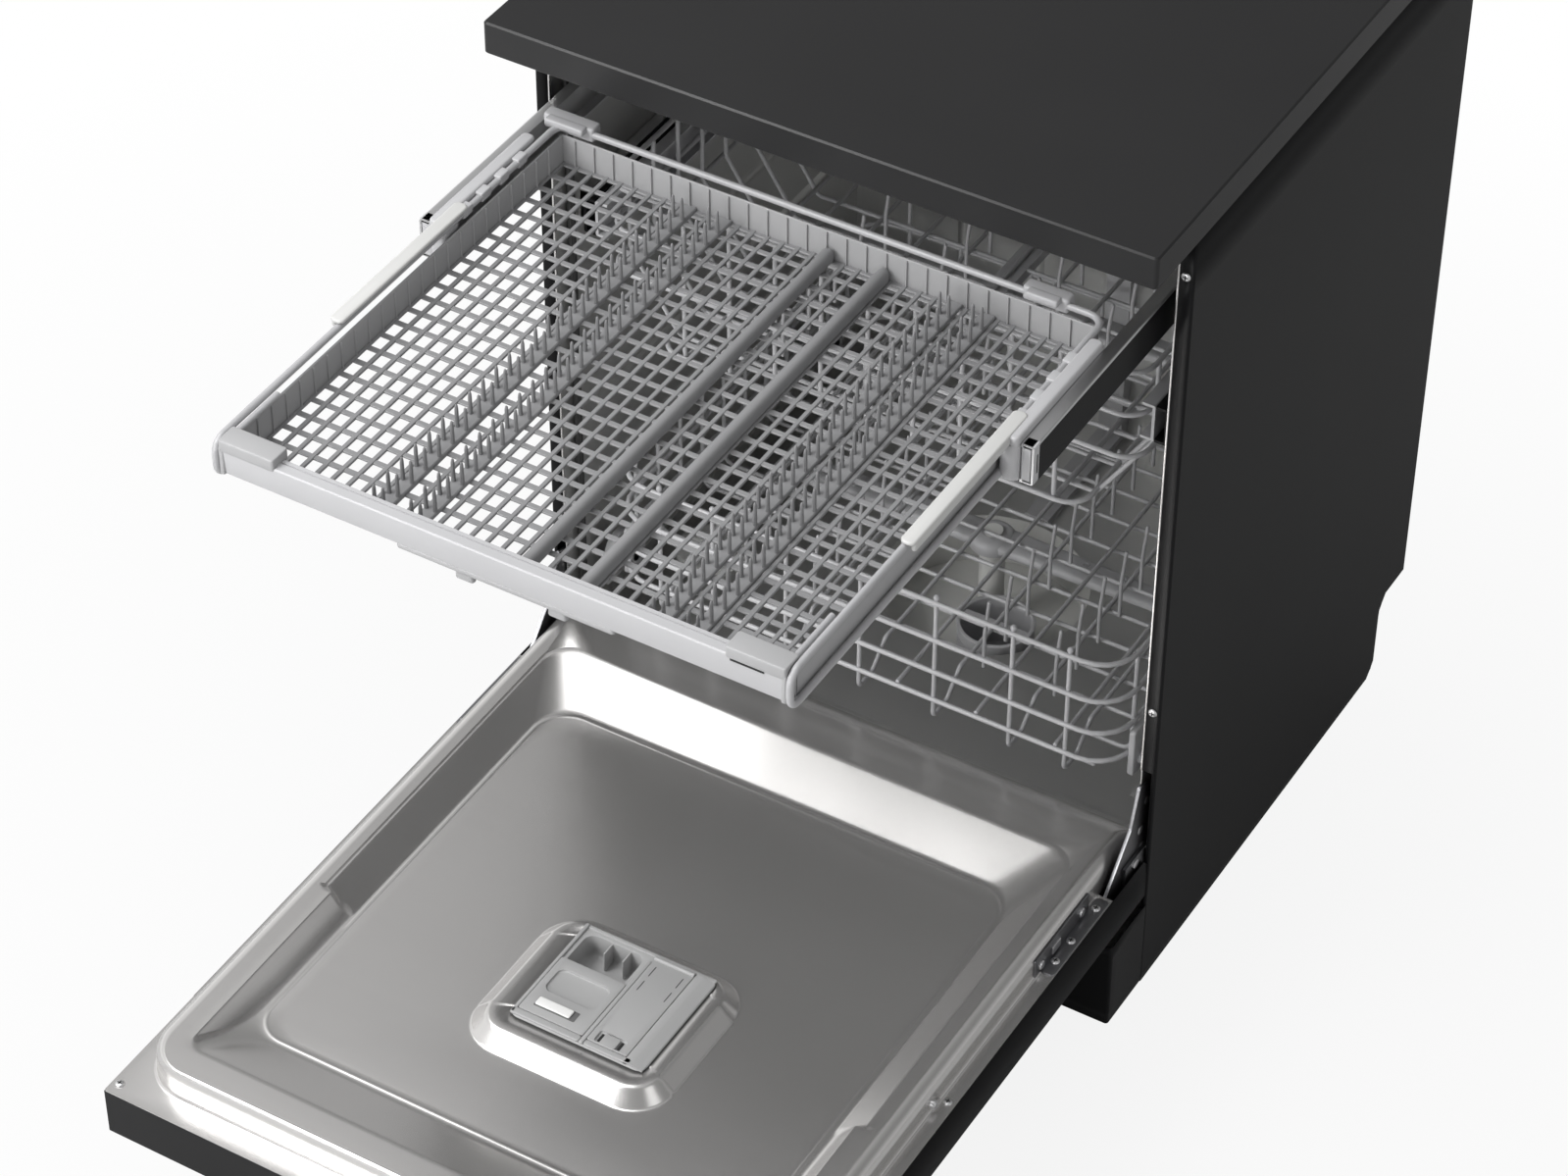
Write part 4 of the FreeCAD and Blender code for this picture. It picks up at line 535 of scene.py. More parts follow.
def ring(x, y, near_corner, far_corner, z, side_y=None, half=None, side_z=None):
    """Closed level line: left side, near side, right side, far side, with quarter-circle corners."""
    middle = (x[0] + x[1]) / 2
    wide = (x[1] - x[0]) / 2
    side_y = np.linspace(y[0] + near_corner, y[1] - far_corner, len(SIDE_Y)) if side_y is None else side_y
    half = np.full(len(SIDE_Y), wide) if half is None else half
    side_z = np.full(len(SIDE_Y), z) if side_z is None else side_z
    ease = ARC / ARC[-1]
    near = np.column_stack([
        half[0] - near_corner * (1 - np.sin(ARC)),
        y[0] + near_corner * (1 - np.cos(ARC)),
        z + (side_z[0] - z) * ease,
    ])
    far = np.column_stack([
        half[-1] - far_corner * (1 - np.cos(ARC)),
        y[1] - far_corner * (1 - np.sin(ARC)),
        side_z[-1] + (z - side_z[-1]) * ease,
    ])
    right = np.concatenate([near, np.column_stack([half, side_y, side_z]), far])
    left = right[::-1] * (-1, 1, 1)
    across = np.linspace(-1, 1, ACROSS + 2)[1:-1]
    front = np.column_stack([across * near[0, 0], np.full(ACROSS, y[0]), np.full(ACROSS, z)])
    back = np.column_stack([-across * far[-1, 0], np.full(ACROSS, y[1]), np.full(ACROSS, z)])
    return np.concatenate([left, front, right, back]) + (middle, 0, 0)


def slope(u, low, high):
    """Height share of a pressed slope: running sum of a trapezium that rises till low and falls from high."""
    t = np.linspace(0, 1, 400)
    rate = np.clip(t / low, 0, 1) * np.clip((1 - t) / (1 - high), 0, 1)
    total = np.cumsum(rate)
    return np.interp(u, t, total / total[-1])


def sheet_ring(half, near, far, near_corner, far_corner, z):
    """Level line of the inner door at one height."""
    return ring((-half, half), (near, far), near_corner, far_corner, z, SIDE_Y)


print("ring of", len(sheet_ring(100, -500, 0, 10, 10, 0)), "points")

# %% Floor, slopes and land
rise = RIM_TOP - FLOOR_Z
near_part = 1 - slope(np.clip((SIDE_Y - STEP_Y + STEP_HALF) / (2 * STEP_HALF), 0, 1), 0.5, 0.5)
basin = []
land = LAND_HALF + (LAND_STEEP - LAND_HALF) * near_part
for u in np.concatenate([np.linspace(0, 0.16, 7), np.linspace(0.25, 0.75, 5), np.linspace(0.84, 1, 7)]):
    gentle = rise * slope(u, 0.10, 0.90)
    steep = rise * slope(u, 0.75, 0.93)
    half = FLOOR_HALF + (land - FLOOR_HALF) * u
    side_z = FLOOR_Z + near_part * steep + (1 - near_part) * gentle * SIDE_SHARE
    near = FLOOR_NEAR + (LAND_NEAR - FLOOR_NEAR) * u
    far = FLOOR_FAR + (LAND_FAR - FLOOR_FAR) * u
    corners = (NEAR_CORNER - NEAR_LOSS * u, FAR_CORNER - FAR_LOSS * u)
    basin.append(ring((-half[0], half[0]), (near, far), *corners, FLOOR_Z + gentle, SIDE_Y, half, side_z))
ledge_z = RIM_TOP - LEDGE * (1 - near_part)
for run, z in ((0.8, ledge_z), (1.6, np.full(len(SIDE_Y), RIM_TOP))):
    half = np.full(len(SIDE_Y), LAND_HALF + run)
    y = (LAND_NEAR - run / 3, LAND_FAR + run / 3)
    corners = (NEAR_CORNER - NEAR_LOSS + run / 3, FAR_CORNER - FAR_LOSS - run / 3)
    basin.append(ring((-half[0], half[0]), y, *corners, RIM_TOP, SIDE_Y, half, z))
print("basin rings", len(basin))

# %% Rolled rim and lip
rim = []
roll = np.concatenate([[0, 0.02], np.linspace(0.15, 1.45, 9), [np.pi / 2]])
drops = np.concatenate([RIM_ROLL * (1 - np.cos(roll)), np.linspace(RIM_ROLL, RIM_TOP - HINGE_Z - 1, 9)[1:]])
for i, drop in enumerate(drops):
    out = RIM_ROLL * np.sin(roll[min(i, len(roll) - 1)])
    far = HINGE_Y + np.sqrt(LIP ** 2 - (LIP - drop) ** 2)
    half = RIM_HALF - RIM_ROLL + out
    near = RIM_NEAR + (RIM_ROLL - out) * NEAR_SHARE
    rim.append(sheet_ring(half, near, far, 31 + out, 1.5, RIM_TOP - drop))
print("rim rings", len(rim))

# %% Dome under the dispenser
DOME_X = (-87.0, 103.0)
DOME_Y = (-413.0, -245.0)
DOME_RISE, DOME_RUN, DOME_CORNER, DOME_FOOT = 14.0, 17.0, 38, 1.5
DOME_TOP = FLOOR_Z + DOME_RISE
PLATE_X, PLATE_Y = extent("dispenser_body")[:2]
dome = []
for t in np.concatenate([np.linspace(1, 0.7, 7), np.linspace(0.6, 0.3, 4), np.linspace(0.2, 0, 6)]):
    cut = DOME_RUN * t
    corner = DOME_CORNER - cut
    height = FLOOR_Z + DOME_RISE * slope(t, 0.14, 0.74)
    dome.append(ring(grown(DOME_X, -cut), grown(DOME_Y, -cut), corner, corner, height))
corner = DOME_CORNER + DOME_FOOT
dome.append(ring(grown(DOME_X, DOME_FOOT), grown(DOME_Y, DOME_FOOT), corner, corner, FLOOR_Z))
inner = ring(grown(PLATE_X, -6), grown(PLATE_Y, -6), 6, 6, DOME_TOP + 1.2)
print("dome rings", len(dome))

# %% The whole liner
floor = []
for v in np.linspace(0, 1, 10)[1:-1]:
    between = dome[-1] * (1 - v) + basin[0] * v
    between[:, 2] += 0.5 * np.sin(np.pi * v)
    floor.append(between)
for inset, lift in ((5.0, 0.0), (3.8, 0.3), (2.6, 0.6), (1.3, 0.3)):
    near, far = grown((FLOOR_NEAR, FLOOR_FAR), -inset)
    corners = (NEAR_CORNER - inset, FAR_CORNER - inset)
    floor.append(sheet_ring(FLOOR_HALF - inset, near, far, *corners, FLOOR_Z + lift))
liner = np.array([inner] + dome + floor + basin + rim)
piece("inner_door", grid(liner, closed=True), STAINLESS, "door", ("door_liner",), sheet=0.8, sharp=60)

# %% [markdown]
# ## Flange of the inner door
#
# Outside the rim the sheet ends in a flat flange that is screwed to the outer door. It could be extruded
# from the rim's last edge. As a strip of its own it has its own rings, which leave out the hinge side, and
# the few quads over the latch are dropped to open a hole.

# %% Flange round the rim
FLANGE = (
    (-0.5, 171.5, 44.5), (0.5, 168.6, 45.5), (1.4, 167.3, 46.4),
    (3, 167, 47), (14.2, 167, 2), (14.3, 166, 2),
)
FLANGE_FAR = HINGE_Y - 43
LATCH_Y = -590
flange = []
count = 2 * (2 * len(ARC) + len(SIDE_Y)) + ACROSS
for out, z, corner in FLANGE:
    near = RIM_NEAR - out if out < 10 else LINER_LOW[1]
    line = sheet_ring(RIM_HALF + out, near, FLANGE_FAR, corner, 0.2, z)
    flange.append(line[:count])
points, faces = grid(np.array(flange))
middle = points[np.array(faces)].mean(1)
way = (np.abs(middle[:, 0]) < 5) & (np.abs(middle[:, 1] - LATCH_Y) < 2)
faces = [face for face, cut in zip(faces, way) if not cut]
piece("door_flange", (points, faces), STAINLESS, "door", closed=False, sharp=60)

# %% [markdown]
# ## Dispenser
#
# A grey moulding sits in the dome. The detergent lid slides along Y on its left half, and the rinse lid
# hinges at its far edge on the right half. A moulding like this could be cut with Booleans, which leave
# long thin faces. Rounded slabs that sink into each other look the same and shade cleanly; only the
# pockets are real hollows, made of rings that go on down into the slab.

# %% Pockets, hoops and drawn bars


def unit(vector):
    """A vector of length one."""
    return vector / np.linalg.norm(vector, axis=-1, keepdims=True)


def circle(radius, sides):
    """Points round a circle: radius * (cos t, sin t)."""
    turn = np.arange(sides) * 2 * np.pi / sides
    return radius * np.column_stack([np.cos(turn), np.sin(turn)])


def dished(x, y, z, corner, edge, dish, depth, dish_corner, steps=4):
    """Slab with a rounded pocket in its top: rings down the outside, across the top and into the pocket."""
    turn = np.linspace(0, np.pi / 2, steps)
    rings = [level(outline(x, y, corner), z[0])]
    for a in turn:
        cut = edge * (1 - np.cos(a))
        ring = outline(grown(x, -cut), grown(y, -cut), max(corner - cut, LEAST_CORNER))
        rings.append(level(ring, z[1] - edge * (1 - np.sin(a))))
    lip = edge / 2
    for a in turn:
        cut = lip * (1 - np.sin(a))
        ring = outline(grown(dish[0], cut), grown(dish[1], cut), dish_corner + cut)
        rings.append(level(ring, z[1] - lip * (1 - np.cos(a))))
    fillet = min(depth / 2, dish_corner / 2)
    for a in turn:
        cut = fillet * (1 - np.cos(a))
        ring = outline(grown(dish[0], -cut), grown(dish[1], -cut), dish_corner - cut)
        rings.append(level(ring, z[1] - depth + fillet * (1 - np.sin(a))))
    return capped(np.array(rings))


def hoop(x, y, z, corner, radius, sides=10):
    """Closed wire round a rectangle with round corners: a circle swept along the outline at height z."""
    path = level(outline(x, y, corner), z)
    ahead = np.roll(path, -1, 0) - path
    tangent = unit(unit(ahead) + unit(np.roll(ahead, 1, 0)))
    normal = np.cross(Z, tangent)
    ring = circle(radius, sides)
    points = path[:, None] + ring[None, :, :1] * normal[:, None] + ring[None, :, 1:] * Z
    return grid(np.concatenate([points, points[:1]]), closed=True)


def drawn(profile, ends):
    """Closed profile (x, z) drawn straight along Y: P(k, t) = (x(t), y(k), z(t))."""
    rings = [np.column_stack([profile[:, 0], np.full(len(profile), y), profile[:, 1]]) for y in ends]
    return capped(np.array(rings))


print("pockets ready")

# %% Dispenser body and chamber
LID_X, LID_Y, LID_Z = extent("detergent_lid")
RINSE_X, RINSE_Y = extent("rinse_lid")[:2]
PLATE_TOP = DOME_TOP + 2.4
FRAME_TOP = LID_Z[1] - 0.2
CHAMBER_X = (-44.0, 11.0)
CHAMBER_Y = (-331.0, -271.0)
plate = dished(PLATE_X, PLATE_Y, (PLATE_TOP - 26, PLATE_TOP), 8, 1.0, (CHAMBER_X, CHAMBER_Y), 23.0, 9.0)
left, right = grown(PLATE_X, -1)
near, far = grown(PLATE_Y, -1)
frame_z = (PLATE_TOP - 1, FRAME_TOP)
bars = [
    slab((left, LID_X[0] - 0.3), (near, far), frame_z, 1.5, 0.8),
    slab((LID_X[1] + 0.3, RINSE_X[0] - 0.4), (near, -274.0), frame_z, 1.5, 0.8),
    slab((left, LID_X[1]), (near, LID_Y[0] - 0.4), frame_z, 2.5, 0.8),
    slab((RINSE_X[0], RINSE_X[1] + 6), (near, RINSE_Y[0] - 0.4), frame_z, 2.5, 0.8),
    slab((left, right), (-267.2, PLATE_Y[1] - 0.6), (PLATE_TOP - 1, PLATE_TOP + 0.8), 1.5, 0.6),
]
side = RINSE_X[1] + 0.4
foot = PLATE_X[1] - 0.8
ramp = np.array([
    (side, frame_z[0]), (foot, frame_z[0]), (foot, PLATE_TOP + 0.2), (side + 8, FRAME_TOP - 0.1),
    (side + 7, FRAME_TOP), (side + 0.6, FRAME_TOP), (side, FRAME_TOP - 0.5),
])
bars.append(drawn(ramp, (near, -267.5)))
for x in (-22.0, -4.0):
    bars.append(slab(about(x, 0.7), (-284.0, CHAMBER_Y[1] + 1), (PLATE_TOP - 22, PLATE_TOP - 2), 0.6, 0.3))
piece("dispenser_moulding", group([plate] + bars), DISPENSER, "door", ("dispenser_body",))
seam = hoop(grown(PLATE_X, 0.2), grown(PLATE_Y, 0.2), DOME_TOP + 0.7, 8.2, 0.6)
piece("dispenser_gasket", seam, SHADOW, "door")

# %% Detergent lid and its slider
SLIDE_X, SLIDE_Y, SLIDE_Z = extent("lid_slider")
window = (grown(LID_X, -6.2), (LID_Y[0] + 27, LID_Y[0] + 55))
lid = dished(LID_X, LID_Y, LID_Z, 2.0, 0.6, window, 2.0, 7.0)
piece("detergent_lid_plate", lid, DISPENSER, "lid_detergent", ("detergent_lid",))
# The pocket beside the slider is not sunk: a darker patch just proud of the lid is its painted shade.
pocket_z = (LID_Z[1] - 1, LID_Z[1] + 0.1)
pocket = slab((SLIDE_X[0] - 1, SLIDE_X[1] + 5), grown(SLIDE_Y, 1), pocket_z, 1.0, 0.05)
piece("slider_pocket", pocket, RECESS_SHADE, "lid_detergent")
piece("slider_knob", slab(SLIDE_X, SLIDE_Y, SLIDE_Z, 1.5, 0.8), WHITE, "slider", ("lid_slider",))

# %% [markdown]
# ## Turned shapes
#
# Knuckles, screws, wheels and caps are round about one axis. Spin and the Screw modifier turn a profile, and
# both leave a seam to be merged. Here each point of the profile becomes a ring about the axis and the last
# column joins the first, so there is no seam, and a polygon closes each end.

# %% The lathe


def lathe(profile, centre, axis, sides=24):
    """Turned shape: P(k, t) = centre + z(k) * axis + r(k) * (cos t * across + sin t * up)."""
    profile = np.asarray(profile, float)
    axis = np.asarray(axis, float)
    across = unit(np.cross(axis, Z if abs(axis[2]) < 0.9 else X))
    up = np.cross(axis, across)
    ring = circle(1.0, sides)
    spoke = ring[:, :1] * across + ring[:, 1:] * up
    points = np.asarray(centre) + profile[:, None, 1:] * axis + profile[:, None, :1] * spoke[None]
    return capped(points)


print("lathe ready")

# %% Rinse lid
KNUCKLE_R = 2.3
hinge_y = RINSE_Y[1] - KNUCKLE_R
notch_x = (RINSE_X[0] + 5.5, RINSE_X[0] + 31)
notch_y = (RINSE_Y[0] + 1.6, RINSE_Y[0] + 14)
lid = dished(RINSE_X, (RINSE_Y[0], hinge_y), LID_Z, 1.5, 0.6, (notch_x, notch_y), 1.9, 2.4)
wide = RINSE_X[1] - RINSE_X[0]
roller = [(1.3, 0), (2.2, 0.1), (2.2, wide - 0.1), (1.3, wide)]
knuckle = lathe(roller, (RINSE_X[0], hinge_y, LID_Z[0] + KNUCKLE_R), X, 16)
piece("rinse_lid_plate", group([lid, knuckle]), DISPENSER, "lid_rinse", ("rinse_lid",))
# Dark bars just proud of the lid are the painted shade of its slots, and dark bars in the notch are the
# painted shade of the gaps beside the latch.
marks = []
for x in grown(RINSE_X, -6):
    for y in (-302.0, -284.0):
        marks.append(slab(about(x, 0.4), about(y, 6), (LID_Z[1] - 0.5, LID_Z[1] + 0.06), 0.3, 0.03))
for x in grown(notch_x, -3.4):
    mark_y = (notch_y[0] + 1.5, notch_y[1] - 2)
    marks.append(slab(about(x, 1.2), mark_y, (LID_Z[0], LID_Z[0] + 1.2), 0.8, 0.1))
piece("rinse_lid_slots", group(marks), SHADOW, "lid_rinse")
latch_y = (RINSE_Y[0] - 0.3, notch_y[1] - 1.5)
latch = slab(grown(notch_x, -5.5), latch_y, LID_Z + 0.4, 1.4, 0.6)
piece("rinse_lid_latch", latch, DISPENSER, "lid_rinse")

# %% [markdown]
# ## Cutlery tray
#
# A bent rod carries a moulded basket with rows of pegs, and a grip bar closes the front. Its runners slide
# in a middle rail on each side. An Array modifier could repeat the lattice bars and the pegs. A loop that
# adds each bar to one list is easier to follow, and the whole lattice becomes a single mesh.

# %% [markdown]
# ## Bent wire
#
# Rods and wires are drawn through corners with a fixed bending radius. A poly curve with a bevel can round
# its corners only by hand. Here each corner of the path is replaced by an arc, a circle is carried along
# the path, and a smaller ring at each tip stands for the melted end of the coating.

# %% Bent wires
TIP_SHARE, TIP_REACH = 0.55, 0.5


def bent(points, radius, steps=6):
    """Straight runs with each corner replaced by an arc: centre + radius * (cos a inward + sin a across)."""
    points = np.asarray(points, float)
    path = [points[:1]]
    for before, corner, after in zip(points, points[1:], points[2:]):
        back = unit(before - corner)
        on = unit(after - corner)
        half = np.arccos(np.clip(back @ on, -1, 1)) / 2
        inner = unit(back + on)
        centre = corner + inner * radius / np.sin(half)
        turn = np.linspace(-1, 1, steps)[:, None] * (np.pi / 2 - half)
        path.append(centre + radius * (np.sin(turn) * unit(on - back) - np.cos(turn) * inner))
    path.append(points[-1:])
    return np.concatenate(path)


def swept(profile, path, side):
    """Profile (a, b) along a flat path: P(s, t) = path(s) + a(t) * normal(s) + b(t) * side."""
    path = np.asarray(path, float)
    normal = np.cross(side, unit(np.gradient(path, axis=0)))
    return path[:, None] + profile[None, :, :1] * normal[:, None] + profile[None, :, 1:] * side


def wire(points, radius, side, bend=0.0, sides=10):
    """Circle swept along a flat path with bends; each tip shrinks to a share of the radius."""
    path = bent(points, bend) if bend else np.asarray(points, float)
    rings = swept(circle(radius, sides), path, side)
    first = path[0] + (rings[0] - path[0]) * TIP_SHARE - unit(path[1] - path[0]) * radius * TIP_REACH
    last = path[-1] + (rings[-1] - path[-1]) * TIP_SHARE + unit(path[-1] - path[-2]) * radius * TIP_REACH
    return capped(np.concatenate([first[None], rings, last[None]]))


print("wires ready")

# %% Tray rods
ROD_LOW, ROD_HIGH = span("tray_frame")
ROD_R = 3.0
ROD_X = ROD_HIGH[0] - ROD_R
ROD_FRONT = ROD_LOW[1] + ROD_R
ROD_REAR = ROD_HIGH[1] - ROD_R
ROD_TOP = ROD_HIGH[2] - ROD_R
ROD_UNDER = ROD_LOW[2] + ROD_R
turn_in = ROD_FRONT + 40
top = [(-ROD_X, turn_in), (-ROD_X, ROD_REAR), (ROD_X, ROD_REAR), (ROD_X, turn_in)]
pin = [(turn_in, ROD_TOP), (ROD_FRONT, ROD_TOP), (ROD_FRONT, ROD_UNDER), (ROD_REAR - 12, ROD_UNDER)]
hook = [(ROD_X - 7, turn_in + 30), (ROD_X - 7, ROD_FRONT + 6), (ROD_X - 32, ROD_FRONT + 6)]
rods = [
    wire([(x, y, ROD_TOP) for x, y in top], ROD_R, Z, 14),
    both(wire([(ROD_X, y, z) for y, z in pin], ROD_R, X, 11)),
    both(wire([(x, y, ROD_TOP - 1) for x, y in hook], ROD_R - 0.4, Z, 8)),
]
piece("tray_rods", group(rods), WIRE_GREY, "cutlery_tray", ("tray_frame",))

# %% Tray floor and walls
INSERT_X, INSERT_Y, (BASE, WALL_TOP) = extent("tray_insert")
x0, x1 = INSERT_X
y0, y1 = INSERT_Y
PITCH = 18.0
bars = []
for y in np.linspace(y0 + 3.5, y1 - 3.5, 25):
    bars.append(slab(INSERT_X, about(y, 2.4), (BASE, BASE + 2.0), 0.5, 0.4, 2))
for x in np.linspace(x0 + 2.5, x1 - 2.5, 36):
    bars.append(slab(about(x, 1.8), INSERT_Y, (BASE, BASE + 2.6), 0.5, 0.4, 2))
piece("tray_lattice", group(bars), LATTICE_SHADE, "cutlery_tray", ("tray_insert",))
walls = [
    slab((x0, x0 + 2), INSERT_Y, (BASE, WALL_TOP), 0.8, 0.7),
    slab((x1 - 2, x1), INSERT_Y, (BASE, WALL_TOP), 0.8, 0.7),
    slab(INSERT_X, (y0, y0 + 2), (BASE, WALL_TOP - 3), 0.8, 0.7),
    slab(INSERT_X, (y1 - 2, y1), (BASE, WALL_TOP), 0.8, 0.7),
]
for y in np.arange(y0 + 12, y1 - 6, PITCH):
    walls.append(both(slab((x1 - 3.6, x1 - 1), about(y, 0.6), (BASE, WALL_TOP - 1), 0.4, 0.3, 2)))
for x in np.arange(x0 + 14, x1 - 6, PITCH):
    walls.append(slab(about(x, 0.6), (y1 - 3.6, y1 - 1), (BASE, WALL_TOP - 1), 0.4, 0.3, 2))
piece("tray_walls", group(walls), TRAY_WALL_SHADE, "cutlery_tray")

# %% Pegs and ridges
PEG = [(1.9, 0), (1.7, 8), (1.5, 19), (1.1, 22), (0.4, 23)]
pegs = []
for x in (-121.0, -88.0, 121.0, 150.0):
    pegs.append(slab(about(x, 6), grown(INSERT_Y, -2), (BASE + 1, BASE + 5), 1.0, 0.8, 2))
    for y in np.arange(y0 + 14, y1 - 8, PITCH):
        for row in about(x, 4.0):
            pegs.append(lathe(PEG, (row, y, BASE + 3), Z, 8))
for x in (8.0, 58.0):
    pegs.append(slab(about(x, 5), grown(INSERT_Y, -3), (BASE + 1, BASE + 15), 4.0, 4.5, 5))
piece("tray_pegs", group(pegs), LATTICE_SHADE, "cutlery_tray")

# %% Front bar and its end clips
BAR_LOW, BAR_HIGH = span("tray_front_bar")
depth = BAR_HIGH[1] - BAR_LOW[1]
tall = BAR_HIGH[2] - BAR_LOW[2]
section = np.array([
    (depth, 2.0), (depth - 1, 0.6), (3.0, 0.0), (1.6, 0.5), (1.0, 2.0), (0.0, tall - 4), (0.2, tall - 1.2),
    (1.2, tall), (8.4, tall), (8.8, tall - 1.2), (9.8, tall - 1.2), (10.2, tall - 0.2),
    (depth - 0.6, tall - 0.2), (depth, tall - 1.2),
])
path = [(x, BAR_LOW[1], BAR_LOW[2]) for x in (BAR_LOW[0] + 1, 0, BAR_HIGH[0] - 1)]
piece("tray_grip_bar", capped(swept(section, path, Z)), GREY, "cutlery_tray", ("tray_front_bar",), sharp=25)
end, front, back = BAR_HIGH[0], BAR_LOW[1], BAR_HIGH[1]
under, over = BAR_LOW[2], BAR_HIGH[2]
cap = slab((194, end), (front - 0.8, back + 5), (over - 3, ROD_TOP + 3.6), 2.0, 1.2)
cheek = slab((end - 4, end + 0.5), (front - 0.8, back), (under, over), 1.5, 1.0)
tabs = [slab(about(x, 8), (front + 3, front + 9), (under - 12, under + 1), 2.5, 1.5) for x in (-30, 50)]
sill = slab((-88, 100), (front + 1, back), (under - 4, under + 1), 3.0, 1.5)
piece("tray_bar_clips", group([both(cap), both(cheek), sill] + tabs), TRAY_WALL_SHADE, "cutlery_tray")
# A dark bar just proud of the clip's front is the painted shade of the seam between clip and bar.
slot = slab((198, 226), (front - 0.9, front + 1), (over - 4.2, over - 3), 0.5, 0.1, 2)
piece("tray_clip_seam", slot, SHADOW, "cutlery_tray")

# %% Side handles and rear clips
(_, end), grip_y, (under, over) = extent("tray_handles")
grip = slab((end - 12.5, end), grip_y, (over - 3.6, over), 5.0, 1.6)
skirt = slab((end - 4, end), grown(grip_y, -3), (under, over - 1), 1.8, 1.2)
piece("tray_side_grips", both(group([grip, skirt])), SHADED_WHITE, "cutlery_tray", ("tray_handles",))
_, clip_y, clip_z = extent("tray_clips")
tooth_y = (clip_y[0] - 7, clip_y[0] + 2)
tooth_z = (clip_z[1] - 5, clip_z[1] + 1)
clips = []
for x in ((-262.0, -214.0), (176.0, 216.0)):
    clips.append(slab(x, clip_y, clip_z, 3.0, 2.0))
    clips.append(slab(grown(x, -6), tooth_y, tooth_z, 2.0, 1.5))
piece("tray_rear_clips", group(clips), GREY, "cutlery_tray", ("tray_clips",))

# %% [markdown]
# ## Rails
#
# Each rail is a steel strip rolled to a C, open towards the middle. A curve with a bevel profile would give
# the same body. Here one function works out the profile, and every stage draws it along Y between the ends
# of its own CAD node. The tray's runner carries a grey cover with a blunt nose, and pads that hold the top
# rod.

# %% Rolled rails
ROLL_R = 2


def rolled(edge, deep, z, wall):
    """C profile: two outer corners of radius ROLL_R joined to an inner channel of the wall's thickness."""
    turn = np.linspace(0, np.pi / 2, 5)
    sine = ROLL_R * np.sin(turn)
    cosine = ROLL_R * np.cos(turn)
    low = np.column_stack([edge - ROLL_R + sine, z[0] + ROLL_R - cosine])
    high = np.column_stack([edge - ROLL_R + cosine, z[1] - ROLL_R + sine])
    mouth = edge - deep
    bed = edge - wall
    under, over = grown(z, -wall)
    inner = [(mouth, z[1]), (mouth, over), (bed, over), (bed, under), (mouth, under), (mouth, z[0])]
    return np.vstack([low, high, inner])


STAGES = (
    ("tray_rails", 11.0, ZINC, "cabinet"), ("upper_rails", 11.0, ZINC, "cabinet"),
    ("tray_mid_rails", 11.2, ZINC, "tray_middle_stage"),
    ("upper_mid_rails", 11.2, BLACK_STEEL, "upper_middle_stage"),
    ("upper_runners", 12.0, WIRE_GREY, "upper_basket"),
)
for node, deep, material, body in STAGES:
    (_, edge), ends, heights = extent(node)
    profile = rolled(edge, deep, heights, 2.6)
    piece(node + "_strip", both(drawn(profile, ends)), material, body, (node,))

# %% Runner covers and rail ends
(_, edge), (near, far), heights = extent("tray_runners")
strip = drawn(rolled(edge, 9.6, heights, 2.4), (near + 4, far))
cover = slab((edge - 11.5, edge - 0.2), (near, far + 6), (ROD_TOP - 5, ROD_TOP + 5.5), 4.0, 2.0)
nose = slab((edge - 16, edge - 0.2), (near, near + 22), (heights[0], ROD_TOP + 1), 5.0, 3.0)
pads = []
for y in near + np.arange(24, 120, 26):
    pads.append(slab((edge - 18, edge - 9), (y, y + 13), (ROD_TOP - 4, ROD_TOP + 4.2), 1.5, 1.0))
piece("tray_runner_covers", both(group([strip, cover, nose] + pads)), GREY, "cutlery_tray", ("tray_runners",))
(_, edge), (near, far), heights = extent("tray_mid_rails")
end = slab((edge - 11.2, edge + 0.15), (near, near + 11), heights, 2.0, 1.2)
piece("tray_rail_ends", both(end), GREY, "tray_middle_stage")
face = slab((edge - 1, edge + 0.2), (near + 8, far), (heights[0], heights[1] - 2), 0.5, 0.3, 2)
piece("tray_rail_faces", both(face), BLACK_STEEL, "tray_middle_stage")
# A dark patch just proud of each rail end is the painted shade of its slot.
hole = slab((edge - 1, edge + 0.25), (near + 4, near + 7), grown(heights, -9), 0.9, 0.1, 2)
piece("tray_rail_end_slots", both(hole), SHADOW, "tray_middle_stage")

# %% [markdown]
# ## Wire racks
#
# A rack is bent and welded from coated wire. The wires could be Bezier curves with a bevel depth; as grids
# they keep a known number of faces. Each wire is a path of a few corners with an arc put in at every
# corner, and closed hoops run round the sides.

# %% Knobs and tines
WIRE_R, TINE_R = 2.1, 1.8
POLE = 0.12


def ball(centre, radius):
    """Sphere as a turned shape: r = radius * sin a, z = -radius * cos a."""
    a = np.linspace(POLE, np.pi - POLE, 8)
    return lathe(radius * np.column_stack([np.sin(a), -np.cos(a)]), centre, Z, 10)


def tines(columns, rows, deck, knee, tip):
    """Rows of upright wires that lean a little to the right above the knee."""
    made = []
    for x in columns:
        for y in rows:
            made.append(wire([(x, y, deck - 3), (x, y, knee), (x + 3, y, tip)], TINE_R, Y))
    return made


print("tines ready")

